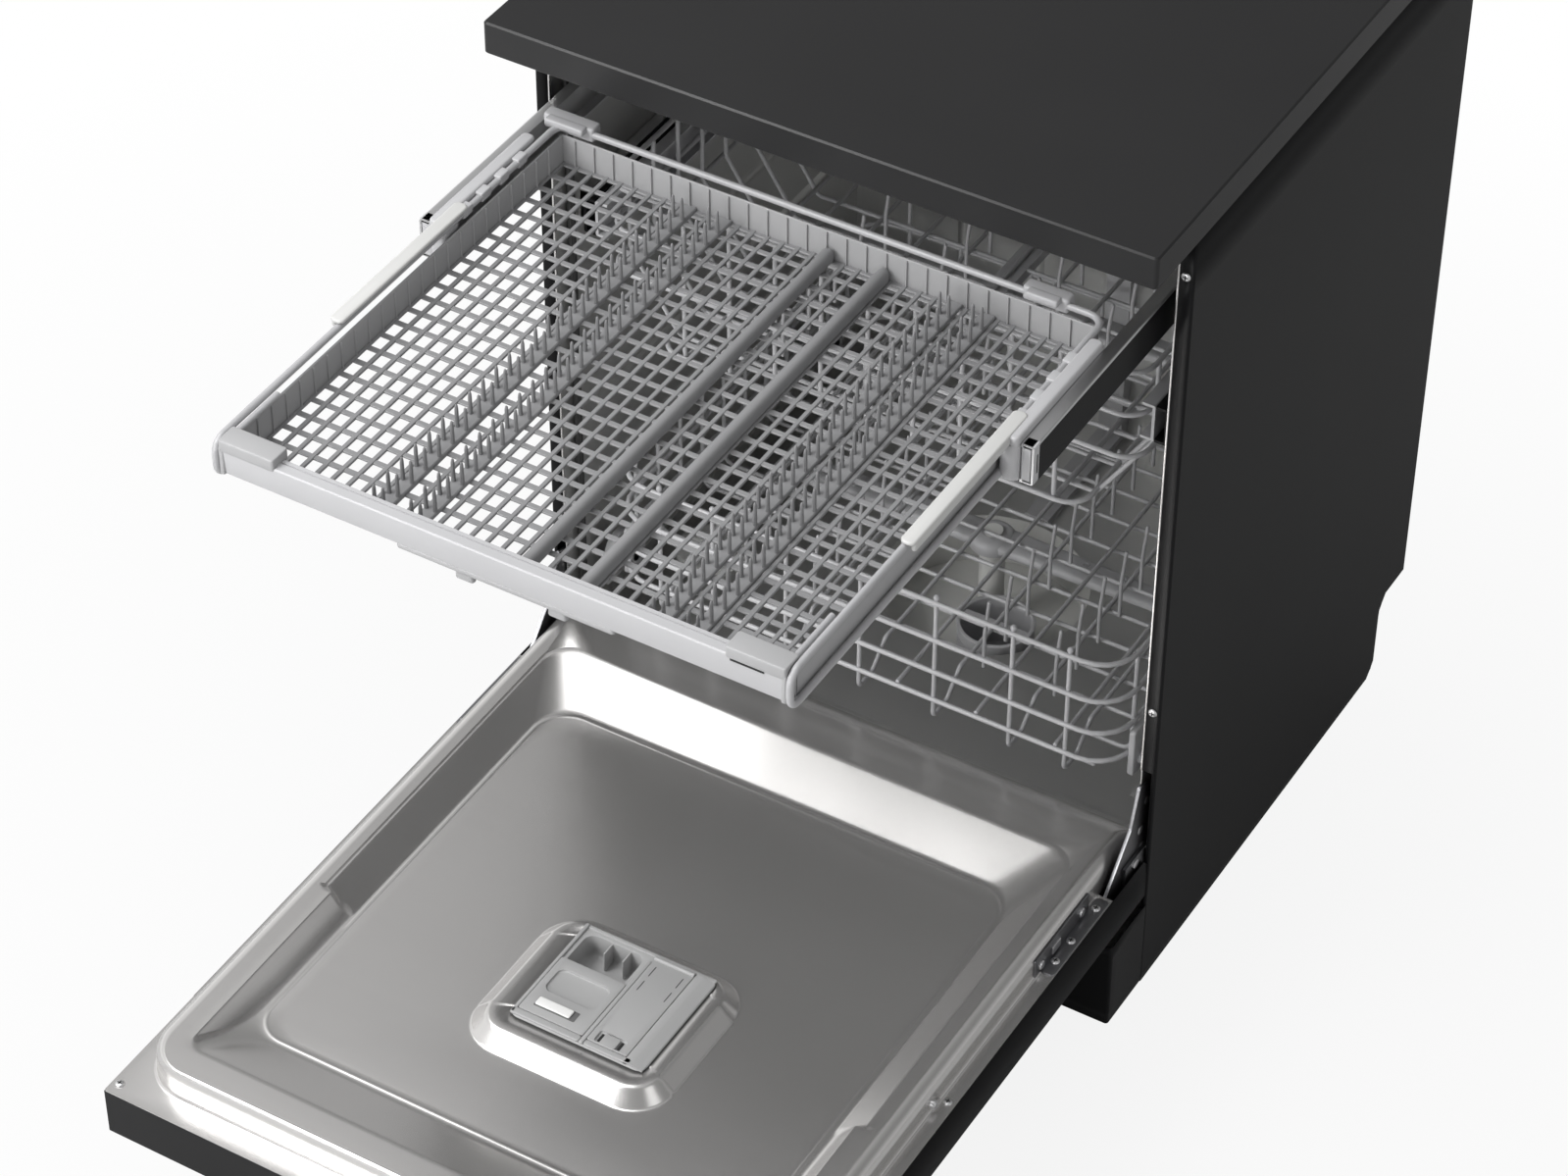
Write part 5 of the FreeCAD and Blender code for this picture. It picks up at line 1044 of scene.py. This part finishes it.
# %% Wires of the lower rack
HALF = 248.0
FRONT, REAR = 93.0, 531.0
DECK, BRIM, FOOT = 224.0, 334.0, 202.0
wires = []
bow = [
    (FRONT, BRIM + 4), (FRONT, FOOT), (FRONT + 24, FOOT),
    (FRONT + 47, DECK), (REAR, DECK), (REAR, BRIM + 4),
]
for x in (-202.0, -148.0, -74.0, 0.0, 74.0, 148.0, 202.0):
    wires.append(wire([(x, y, z) for y, z in bow], WIRE_R, X, 6))
    wires.append(ball((x, FRONT, BRIM + 5), 3.0))
    wires.append(ball((x, REAR, BRIM + 5), 3.0))
for x in (np.arange(-3, 3) + 0.5) * 77.0:
    wires.append(wire([(x, y, DECK + 2) for y in (FRONT, 300, REAR)], WIRE_R, X))
for y in np.linspace(FRONT + 34, REAR - 34, 11):
    run = [(-HALF, y, BRIM), (-HALF, y, DECK - 4), (HALF, y, DECK - 4), (HALF, y, BRIM)]
    wires.append(wire(run, WIRE_R, Y, 10))
for z in (BRIM, 292.0, 256.0, DECK):
    wires.append(hoop(about(0, HALF + 2), grown((FRONT, REAR), 2), z, 36, 2.4))
wires.append(wire([(x, FRONT + 10, 212) for x in (-HALF + 22, 0, HALF - 22)], WIRE_R, Z))
wires += tines((-150.0, -80.0, 90.0, 160.0), np.linspace(FRONT + 60, REAR - 60, 9), DECK, 260, 296)
piece("lower_rack_wires", group(wires), WIRE_GREY, "lower_basket", ("lower_rack",))

# %% [markdown]
# ## Wheels
#
# Four grey wheels with a hub groove roll under the lower rack, each on the stub of a moulded carrier. They
# could be instances of one mesh. Each is a mesh of its own in its place, because each rides on its own body
# and turns about its own axle.

# %% Wheel carriers of the lower rack
AXLE_X, AXLE_Z = 250, 214.5
CARRIER_Y = (130.0, 480.0)
AXLE = [(6.2, 0), (6.2, 14.5), (3.9, 15), (3.9, 24), (6.0, 24.2), (6.0, 25.4), (4.5, 26)]
carriers = []
for y in CARRIER_Y:
    plate = laid(slab(about(y, 14), (200, 251), (AXLE_X, AXLE_X + 6), 4, 1.5), [2, 0, 1])
    axle = lathe(AXLE, (AXLE_X, y, AXLE_Z), X)
    carriers.append(both(group([plate, axle])))
piece("lower_rack_carriers", group(carriers), GREY, "lower_basket")

# %% Wheels of the lower rack
TYRE = [
    (4.1, 0), (15.5, 0), (17.4, 0.8), (18, 2.5), (18, 6.5), (17.4, 8.2),
    (15.5, 9), (13, 9), (12.4, 7), (7.4, 7), (7, 9), (4.1, 9),
]
for side, sign in (("right", 1), ("left", -1)):
    for place, y in zip(("front", "rear"), CARRIER_Y):
        node = "wheel_" + place + "_" + side
        tyre = lathe(TYRE, (sign * 266.0, y, AXLE_Z), X * sign, 32)
        piece(node + "_tyre", tyre, GREY, "wheel_" + place[0] + side[0], (node,))

# %% Upper rack
FRONT, REAR = 97.0, 543.0
DECK, SHOULDER, BRIM = 490.0, 560.0, 646.0
DECK_HALF = 200.0
wires = []
bow = [(FRONT, BRIM + 3), (FRONT, DECK), (REAR, DECK), (REAR, BRIM + 3)]
for x in np.linspace(-176, 176, 9):
    wires.append(wire([(x, y, z) for y, z in bow], WIRE_R, X, 8))
    wires.append(ball((x, FRONT, BRIM + 4), 2.9))
wing = [(HALF, BRIM), (HALF, SHOULDER), (DECK_HALF, DECK - 4)]
for y in np.linspace(FRONT + 30, REAR - 30, 11):
    run = [(-x, y, z) for x, z in wing] + [(x, y, z) for x, z in wing[::-1]]
    wires.append(wire(run, WIRE_R, Y, 9))
for z, half in ((BRIM, HALF), (603.0, HALF), (SHOULDER, HALF), (DECK + 2, DECK_HALF)):
    wires.append(hoop(about(0, half + 2), grown((FRONT, REAR), 2), z, 22, 2.3))
wires += tines((-110.0, -30.0, 60.0, 130.0), np.linspace(FRONT + 50, REAR - 50, 9), DECK, 525, 552)
piece("upper_rack_wires", group(wires), WIRE_GREY, "upper_basket", ("upper_rack",))

# %% [markdown]
# ## Hinges
#
# A hinge arm is a thick steel plate in the door's side that swings on the cabinet's pin. A strap on the
# flange ties the rim to it, and bolts hold both. The plate could be a filled curve that is extruded. Here
# its outline is a polygon with arcs at the corners, drawn in a little at both faces for a broken edge.

# %% Hinge arms and brackets
ARM_OUT = span("hinge_arms")[1][0]
ARM_OUTLINE = ((-70, 148), (-70, 166), (7, 166), (48, 212), (60, 252), (74, 248), (88, 221), (76, 148))
BRACKET_OUT = 294.0


def cut_plate(corners, radius, x, edge):
    """Plate across X: the rounded outline (y, z) at four stations, drawn in by the edge at both faces."""
    loop = np.array(corners + corners[:2], float)
    path = bent(np.column_stack([np.zeros(len(loop)), loop]), radius)[1:-1]
    inward = unit(path.mean(0) - path)
    stations = ((x[0], edge), (x[0] + edge, 0), (x[1] - edge, 0), (x[1], edge))
    return capped(np.array([path + inward * cut + X * place for place, cut in stations]))


arm = cut_plate(ARM_OUTLINE, 3.5, (ARM_OUT - 3, ARM_OUT), 0.4)
piece("hinge_arm_plates", both(arm), SHADED_ZINC, "door", ("hinge_arms",))
RIVET = [(4.4, -0.5), (4.4, 0.1), (3.6, 0.4), (0.3, 0.45)]
rivets = [lathe(RIVET, (ARM_OUT, y, z), X) for y, z in ((65, 198), (74, 226), (70, 176), (-30, 157))]
piece("hinge_arm_rivets", both(group(rivets)), ZINC, "door")
HEX = [(4.9, -0.5), (4.9, 1.0), (4.2, 1.4), (0.3, 1.5)]
bolts = [lathe(HEX, (BRACKET_OUT, y, z), X, 6) for y, z in ((52, 171), (78, 170), (110, 162))]
piece("hinge_bracket_bolts", both(group(bolts)), ZINC, "cabinet")

# %% Hinge straps on the flange
STRAP_TOP = FLANGE_Z + 1.4
strap = slab((283.6, 296.4), (-97, 3), (FLANGE_Z - 0.5, STRAP_TOP), 4.0, 0.5)
web = slab((282.3, 284.0), (-106, -12), (FLANGE_Z, FLANGE_Z + 19), 0.6, 0.4, 2)
piece("hinge_straps", both(group([strap, web])), SHADED_ZINC, "door")
STUD = [(4.4, 0), (4.4, 1.2), (3.4, 2.2), (1.0, 2.4)]
studs = [lathe(STUD, (283.8, y, z), X, 16) for y, z in ((-26, 175.4), (-96, 175))]
BUFFER = [(4.2, 0), (4.2, 3.4), (3.0, 5.0), (0.6, 5.2)]
studs.append(lathe(BUFFER, (RIM_HALF - 0.3, -276, 174.8), X, 16))
studs.append(slab((283.5, 285.6), (-78, -64), (171, 179.6), 0.8, 0.5, 2))
piece("hinge_strap_studs", both(group(studs)), ZINC, "door")

# %% Latch mouth
MOUTH = (
    (16, (-599, -580), 166.4), (16, (-599, -580), 167.4), (15.6, (-598.6, -580.4), 167.8),
    (11.6, (-595.0, -587.4), 167.8), (11.2, (-594.6, -587.8), 167.4), (11.2, (-594.6, -587.8), 166.4),
)
rings = [level(outline((-half, half), y, 1.5), z) for half, y, z in MOUTH]
piece("latch_mouth", grid(np.array(rings + rings[:1]), closed=True), BLACK_PLASTIC, "door")

# %% [markdown]
# ## Outer door
#
# The outer sheet is folded up at both sides, and its cheeks fall away behind the hinge. It is made like the
# side panels, as a profile that changes along one axis. The buttons are turned caps with a shallow dish,
# which a Screw modifier could also turn; the lathe helper needs no second object. Beside the window stands
# a row of small lamps.

# %% Outer sheet
SKIN_LOW, SKIN_HIGH = span("door_outer_panel")
SKIN_BEND = 2.5
FALL_Y = HINGE_Y + 12.0


def trough(y):
    """Profile of the outer sheet at one place along Y: cheek, bend, flat, bend, cheek."""
    turn = np.linspace(0, np.pi / 2, 6)
    high = np.interp(y, (FALL_Y, SKIN_HIGH[1]), (SKIN_HIGH[2], SKIN_LOW[2] + 4))
    centre = (SKIN_HIGH[0] - SKIN_BEND, SKIN_LOW[2] + SKIN_BEND)
    bend = np.column_stack([centre[0] + SKIN_BEND * np.cos(turn), centre[1] - SKIN_BEND * np.sin(turn)])
    side = np.vstack([[(SKIN_HIGH[0], high)], bend])
    side[:, 1] = np.minimum(side[:, 1], high)
    flat = np.column_stack([np.linspace(centre[0], -centre[0], 14)[1:-1], np.full(12, SKIN_LOW[2])])
    line = np.vstack([side, flat, side[::-1] * (-1, 1)])
    return np.column_stack([line[:, 0], np.full(len(line), y), line[:, 1]])


along = np.concatenate([np.linspace(SKIN_LOW[1], FALL_Y, 12), np.linspace(FALL_Y, SKIN_HIGH[1], 6)[1:]])
outer = grid(np.array([trough(y) for y in along]))
piece("door_skin", outer, BLACK_STEEL, "door", ("door_outer_panel",), sheet=0.9, sharp=8)

# %% Buttons and lamps
CAP = [(9.3, 0), (9.3, 1.5), (6.8, 1.7), (6.8, 7.2), (6.3, 7.9), (5.4, 8.0), (4.6, 7.6), (0.3, 7.2)]
for node in ("power_button", "program_button", "start_button"):
    low, high = span(node)
    centre = ((low[0] + high[0]) / 2, (low[1] + high[1]) / 2, high[2])
    piece(node + "_cap", lathe(CAP, centre, -Z, 32), GREY, "button_" + node.split("_")[0], (node,))
FASCIA_Z = span("control_fascia")[0][2]
LENS = [(2.1, -0.5), (2.1, 0.1), (1.5, 0.4), (0.2, 0.5)]
lamps = [lathe(LENS, (x, -520, FASCIA_Z), -Z, 12) for x in (80, 92, 104, 116)]
piece("fascia_lamps", group(lamps), WHITE, "door")
grip = hoop((-86.5, 86.5), (-591.5, -550.5), FASCIA_Z + 0.6, 3.0, 1.2)
piece("grip_lip", grip, BLACK_PLASTIC, "door")

# %% [markdown]
# ## Spray arms
#
# A spray arm is a hollow moulded blade that water turns about its hub. A stretched and bevelled cube would
# come near it. A formula is shorter: the half width and the thickness fall towards the tips, and the
# section is a superellipse, flatter than a circle on top. Nozzles are small dished rings on the upper face.

# %% Spray arms
TIP_FROM, TIP_LENGTH = 0.9, 0.102
ROUND = 24


def thinning(reach):
    """Thickness of the blade as a share of the hub's, at a share of its reach."""
    return 0.9 - 0.25 * reach


def blade(low, high):
    """P(s, t): along X by s, half width 17 - 5 |s|, section |cos t|^0.6 by |sin t|^0.7, ends rounded off."""
    tip = np.append(np.linspace(TIP_FROM, 0.985, 5), 1.0)
    s = np.concatenate([-tip[::-1], np.linspace(-0.8, 0.8, 21), tip])
    t = np.arange(ROUND) * 2 * np.pi / ROUND
    reach = np.abs(s)
    past = np.maximum(reach, TIP_FROM) - TIP_FROM
    round_off = np.sqrt(np.clip(1 - (past / TIP_LENGTH) ** 2, 0, 1))
    half = (17 - 5 * reach) * round_off
    deep = (high[2] - low[2]) / 2 * thinning(reach) * np.sqrt(round_off)
    wave_y = np.sign(np.cos(t)) * np.abs(np.cos(t)) ** 0.6
    wave_z = np.sign(np.sin(t)) * np.abs(np.sin(t)) ** 0.7
    centre = (low + high) / 2
    x = np.repeat((centre[0] + high[0] * s)[:, None], ROUND, 1)
    y = centre[1] + half[:, None] * wave_y
    z = centre[2] + deep[:, None] * wave_z
    return capped(np.stack([x, y, z], -1))


HUB = [(6.6, 0), (20, 0), (21.8, 1.5), (21.8, 9), (19, 12.6), (15, 13.8), (6.6, 13.8)]
NOZZLE = [(3.6, -2), (3.6, 0.7), (2.9, 1.1), (2.0, 0.3), (0.3, -0.3)]
for place in ("lower", "upper", "ceiling"):
    node = place + "_spray_arm"
    low, high = span(node)
    middle = (low + high) / 2
    parts = [blade(low, high), lathe(HUB, (middle[0], middle[1], low[2]), Z, 32)]
    for s in (-0.86, -0.68, -0.5, -0.32, 0.26, 0.44, 0.62, 0.8):
        top = middle[2] + 7 * thinning(abs(s))
        parts.append(lathe(NOZZLE, (middle[0] + high[0] * s, middle[1] + 4 * np.sign(s), top - 0.3), Z, 12))
    piece(node + "_blade", group(parts), GREY, "arm_" + place, (node,))

# %% [markdown]
# ## Tub fittings
#
# A rubber bulb runs round the mouth of the tub, beads pressed into the walls stiffen them, the sump has a
# strainer with a grip, and the salt tank has a ribbed cap. The beads could be cut into the tub's mesh.
# Laid on the wall they leave the CAD node as it is, and their feet sink into it so that no gap shows.

# %% Door seal
BULB_R, FIN_R, SEAL_BEND = 3.6, 0.9, 12
SEAL_FOOT = 165
seal_x, seal_y, seal_z = extent("door_seal")
edge = seal_x[1] - 3.75
run = seal_y[1] - 4.0
top = seal_z[1] - 3.75
path = [(-edge, run, SEAL_FOOT), (-edge, run, top), (edge, run, top), (edge, run, SEAL_FOOT)]
bulb = wire(path, BULB_R, Y, SEAL_BEND, 14)
fin = wire([(x * 0.995, run - 3.4, z) for x, _, z in path], FIN_R, Y, SEAL_BEND, 8)
sill = slab(seal_x, (seal_y[0], seal_y[0] + 3.5), (seal_z[0], SEAL_FOOT - 2), 1.0, 0.9)
piece("seal_bulb", group([bulb, fin, sill]), RUBBER, "cabinet", ("door_seal",))

# %% Beads of the tub
BEAD = np.array([(0.5, 7), (0, 6), (-1.6, 4), (-2.6, 1.5), (-2.6, -1.5), (-1.6, -4), (0, -6), (0.5, -7)])
WALL_X, WALL_Y = 285, 577
beads = []
for z in (300.0, 380.0, 460.0):
    beads.append(both(drawn(BEAD + (WALL_X, z), (125, 160, 520, 550))))
for x in (-170.0, -90.0, 90.0, 170.0):
    rear = drawn(BEAD[:, ::-1] * (1, -1), (240, 300, 620, 690))
    beads.append(moved(laid(rear, [0, 2, 1]), (x, WALL_Y, 0), (1, -1, 1)))
piece("tub_beads", group(beads), TUB_STEEL, "cabinet")

# %% Strainer
CUP_LOW, CUP_HIGH = span("filter")
tall = CUP_HIGH[2] - CUP_LOW[2]
cx, cy, _ = (CUP_LOW + CUP_HIGH) / 2
CUP = [
    (30, 0), (34, 1), (34.5, 4), (34.5, tall - 3), (36, tall - 2), (36, tall - 0.6),
    (35, tall), (33, tall), (32, tall - 1), (31.5, 4), (0.5, 3.6),
]
cup = lathe(CUP, (cx, cy, CUP_LOW[2]), Z, 48)
grip = slab(about(cx, 33), about(cy, 4), (CUP_HIGH[2] - 9, CUP_HIGH[2] - 2), 3.0, 2.0)
rings = []
for z in CUP_LOW[2] + np.arange(8, 48, 5):
    rings.append(hoop(about(cx, 34.6), about(cy, 34.6), z, 34.5, 0.7, 8))
piece("strainer", group([cup, grip] + rings), GREY, "cabinet", ("filter",))

# %% Salt cap
CAP_Z, RIB_RING = 150, 32.4
LID = [(31, 0), (33, 0.6), (33, 5.2), (31.5, 6.5), (24, 6.5), (22, 5.6), (0.5, 5.6)]
RIB = [(0.9, 0.4), (1.0, 1), (1.0, 5), (0.4, 5.8)]
cx, cy, _ = sum(span("salt_cap")) / 2
cap = lathe(LID, (cx, cy, CAP_Z), Z, 48)
grip = slab(about(cx, 23), about(cy, 4), (CAP_Z + 4, CAP_Z + 13), 3.8, 1.8)
ribs = [lathe(RIB, (cx + x, cy + y, CAP_Z), Z, 6) for x, y in circle(RIB_RING, 30)]
piece("salt_screw_cap", group([cap, grip] + ribs), WHITE, "cabinet", ("salt_cap",))

# %% [markdown]
# ## Plinth, feet and rear connections
#
# The plinth is a folded skirt, made like the other sheets. The feet are turned pads on threaded stems, and
# the water port has the coarse thread of a hose nut. A true helix would show no more at this size than the
# rings of alternating radius that the lathe turns in one go.

# %% Plinth
PLINTH_LOW, PLINTH_HIGH = span("plinth")
turn = np.linspace(0, np.pi / 2, 6)
fold = np.column_stack([PLINTH_HIGH[0] - 3 + 3 * np.cos(turn), PLINTH_LOW[1] + 3 - 3 * np.sin(turn)])
right = np.vstack([[(PLINTH_HIGH[0], PLINTH_HIGH[1])], fold])
line = np.vstack([right, right[::-1] * (-1, 1)])
skirt = [level(line, z) for z in np.linspace(PLINTH_LOW[2], PLINTH_HIGH[2], 8)]
piece("plinth_skirt", grid(np.array(skirt)), BLACK_STEEL, "cabinet", ("plinth",), sheet=1.4, sharp=8)

# %% Feet
thread = [(6.0 - 0.7 * (k % 2), 10.6 + 0.6 * k) for k in range(12)]
PAD = [(17, 0), (21, 0.5), (22, 2), (22, 6.5), (20, 8.6), (9, 9.6), (6.2, 10.2)] + thread
feet = [both(lathe(PAD, (250, y, 0), Z, 32)) for y in (60.0, 500.0)]
piece("foot_pads", group(feet), BLACK_PLASTIC, "cabinet", ("levelling_feet",))

# %% Water port, drain nozzle and mains gland
valve_x, valve_y, valve_z = extent("inlet_valve")
PORT_Y = 533.0
port = ((valve_x[0] + valve_x[1]) / 2, PORT_Y, 43.4)
body = slab(valve_x, (valve_y[0], PORT_Y), valve_z, 4.0, 2.0)
thread = [(13.2 - 1.1 * (k % 2), 3.0 + 1.2 * k) for k in range(14)]
PORT = [(12.0, -6)] + thread + [(11.2, 20), (9.0, 20), (8.6, 12), (0.4, 12)]
piece("water_port", group([body, lathe(PORT, port, Y, 32)]), WHITE, "cabinet", ("inlet_valve",))
BARB = [(10.2, 0), (11.0, 0.6), (10.4, 5), (10.2, 5.4)]
barbs = [lathe(BARB, (-146.5, y, 84), Y, 32) for y in (566.0, 574.0, 582.0, 590.0)]
piece("drain_barbs", group(barbs), TANK, "cabinet")
GLAND = [
    (14, 0), (14, 1.6), (13, 2.2), (9.6, 2.6), (9.2, 4.4), (8.6, 5), (9.2, 5.6),
    (8.4, 8), (9.0, 8.6), (8.2, 11.4), (7.2, 12), (7.0, 4), (0.4, 4),
]
piece("mains_gland", lathe(GLAND, (-60, 535, 40), Y, 32), BLACK_PLASTIC, "cabinet", ("power_inlet",))

# %% [markdown]
# ## Screws
#
# Pan heads with a cross recess hold the door's two sheets and the cabinet's front. A linked copy of one
# screw at every place would save memory. One mesh for each CAD node is kept, so that the piece stands for
# the node as a whole. The recess is not cut: a dark cross just proud of the dome is its painted shade, which
# reads as a hollow.

# %% Screw heads


def screw(centre, axis, radius=4.0):
    """Pan head as a turned dome, and the painted shade of its cross recess as two thin bars just proud of it.
    """
    a = np.linspace(0, np.pi / 2, 5)
    dome = np.column_stack([radius * np.cos(a) * 0.6 + radius * 0.4 * (a < 1.5), 0.4 + 1.5 * np.sin(a)])
    head = lathe(np.vstack([[(radius * 0.9, 0)], dome]), centre, axis, 16)
    arm = about(0, radius * 0.55)
    half = about(0, radius * 0.13)
    cross = group([slab(x, y, (1.2, 1.98), 0.1, 0.05, 2) for x, y in ((arm, half), (half, arm))])
    if axis[1] < 0:
        cross = moved(laid(cross, [0, 2, 1]), flip=(1, -1, 1))
    return head, moved(cross, centre)


def screws(name, centres, axis, body, node):
    """All heads of one node, and the painted shade of their recesses."""
    pairs = [screw(np.array(c), axis) for c in centres]
    piece(name, group([p[0] for p in pairs]), ZINC, body, (node,))
    piece(name + "_recess", group([p[1] for p in pairs]), SHADOW, body)


DOOR_X, FRAME_X, FRAME_Y = 289.65, 292.0, 69.0
places = [(s * DOOR_X, y, FLANGE_Z) for s in (-1, 1) for y in (-262.0, -588.5)]
places += [(s * DOOR_X, y, STRAP_TOP) for s in (-1, 1) for y in (-10.0, -54.0, -81.0)]
screws("door_screw_heads", places, Z, "door", "door_screws")
places = [(s * FRAME_X, FRAME_Y, z) for s in (-1, 1) for z in (781.0, 330.0)]
screws("frame_screw_heads", places, -Y, "cabinet", "frame_screws")

# %% [markdown]
# ## Camera
#
# The camera stands to the right of the open door and looks down into it with a long lens. It could be aimed
# at an empty with a Track To constraint. Here its matrix is written from three axes and a place, because
# these were fitted to known edges, and a constraint would have to be tuned by eye.

# %% Camera
FOCAL, FRAME_W, SENSOR = 4702.7, 1599.0, 36.0
SHIFT_X, SHIFT_Y = 28.42, 12.83
EYE = np.array((1452.44, -2477.10, 2913.84)) * MM
scene = bpy.context.scene


def placed(right, up, back, place):
    """Matrix whose columns are three axes and a place."""
    pose = np.eye(4)
    pose[:3] = np.column_stack([right, up, back, place])
    return Matrix(pose.tolist())


lens = bpy.data.cameras.new("camera")
lens.sensor_width = SENSOR
lens.lens = SENSOR * FOCAL / FRAME_W
lens.shift_x = SHIFT_X / FRAME_W
lens.shift_y = SHIFT_Y / FRAME_W
lens.clip_end = 100.0
camera = bpy.data.objects.new("camera", lens)
scene.collection.objects.link(camera)
forward = unit(np.array((-0.38787, 0.64049, -0.66282)))
right = np.array((0.85576, 0.51737, -0.00083))
right = unit(right - forward * (right @ forward))
camera.matrix_world = placed(right, np.cross(right, forward), -forward, EYE)
scene.camera = camera
print("camera at", EYE)

# %% [markdown]
# ## Light
#
# The machine stands in a white studio. A studio picture on the world would need a file. Here the strength of
# the world is a formula of direction: the camera and clear glass see plain white, and the steel sees a sky
# that is bright overhead, at the horizon and on the left, so that the slopes of the door show bands. Four
# area lamps give the soft shadows.

# %% World
ROOM = 0.4
SEEN = 1.0 - ROOM
world = bpy.data.worlds.new("studio")
world.use_nodes = True
scene.world = world
tree = world.node_tree
back = tree.nodes["Background"]
path = tree.nodes.new("ShaderNodeLightPath")
ray = Field(tree, path.outputs["Is Camera Ray"])
glossy = Field(tree, path.outputs["Is Glossy Ray"])
through = Field(tree, path.outputs["Is Transmission Ray"])
spot = Field(tree, tree.nodes.new("ShaderNodeTexCoord").outputs["Generated"])
height = ray.math("MAXIMUM", spot.node("ShaderNodeSeparateXYZ", "Z", None, {0: spot}), 0.0)
across = spot.node("ShaderNodeSeparateXYZ", "X", None, {0: spot})
high = height * height
overhead = 1.8 * high * high * high * (0.5 - 0.5 * across)
horizon = ray.math("MAXIMUM", 1.0 - 2.5 * height, 0.0)
left = ray.math("MINIMUM", 4.0 * ray.math("MAXIMUM", -0.5 - across, 0.0), 0.6)
sky = overhead + 0.45 * horizon + left - 0.18
tree.links.new((ROOM + SEEN * ray + SEEN * through + glossy * sky).socket, back.inputs["Strength"])
back.inputs["Color"].default_value = (1, 1, 1, 1)
scene.view_settings.view_transform = "Standard"
print("world nodes:", len(tree.nodes))

# %% Lamps


def lamp(name, place, aim, size, power):
    """Rectangular area light at a place, turned to a point."""
    data = bpy.data.lights.new(name, "AREA")
    data.shape = "RECTANGLE"
    data.size, data.size_y = size
    data.energy = power
    made = bpy.data.objects.new(name, data)
    away = unit(np.array(place, float) - np.array(aim, float))
    side = unit(np.cross(Z if abs(away[2]) < 0.95 else Y, away))
    made.matrix_world = placed(side, np.cross(away, side), away, place)
    scene.collection.objects.link(made)
    print(name, "lamp of", power, "W")


lamp("key", (-1.6, -2.2, 2.6), (0, 0, 0.4), (1.5, 1.3), 66)
lamp("top", (-1.0, -0.8, 3.0), (-0.2, -0.3, 0.3), (2.4, 2.2), 49)
lamp("front", (-0.3, -2.7, 0.9), (0.1, 0.4, 0.45), (1.6, 0.9), 24)
lamp("right", (2.6, -0.8, 1.4), (0, 0, 0.4), (1.2, 1.8), 8)

# %% [markdown]
# ## Floor
#
# A wide pale plane catches the shadow. A compositor could whiten the rest, but the picture would then differ
# from the scene. Where the camera sees the plane, its own shading is mixed with white light, a little more
# with each metre from the middle, until it meets the white world without a line.

# %% Floor
FLOOR_REACH = 6.0
CLEAR, CLEAR_PER_M = 0.85, 0.1
ground = bpy.data.meshes.new("floor")
corners = FLOOR_REACH * np.array([(-1, -1, 0), (1, -1, 0), (1, 1, 0), (-1, 1, 0)])
ground.from_pydata(corners.tolist(), [], [(0, 1, 2, 3)])
pale = finish("pale_floor", None, (0.52, 0.52, 0.52), (0.54, 0.54, 0.54), 0.7)
tree = pale.node_tree
seen = Field(tree, tree.nodes.new("ShaderNodeLightPath").outputs["Is Camera Ray"])
glow = seen.node("ShaderNodeEmission", 0, None, {"Color": (1, 1, 1, 1), "Strength": 1.0})
own = Field(tree, tree.nodes["Principled BSDF"].outputs[0])
spot = Field(tree, tree.nodes.new("ShaderNodeTexCoord").outputs["Object"])
away = spot.node("ShaderNodeVectorMath", "Value", {"operation": "LENGTH"}, {0: spot})
share = seen * seen.math("MINIMUM", CLEAR + CLEAR_PER_M * away, 1.0)
blend = seen.node("ShaderNodeMixShader", 0, None, {0: share, 1: own, 2: glow})
tree.links.new(blend.socket, tree.nodes["Material Output"].inputs["Surface"])
ground.materials.append(pale)
stage = bpy.data.objects.new("floor", ground)
scene.collection.objects.link(stage)
print("floor of", 2 * FLOOR_REACH, "m")
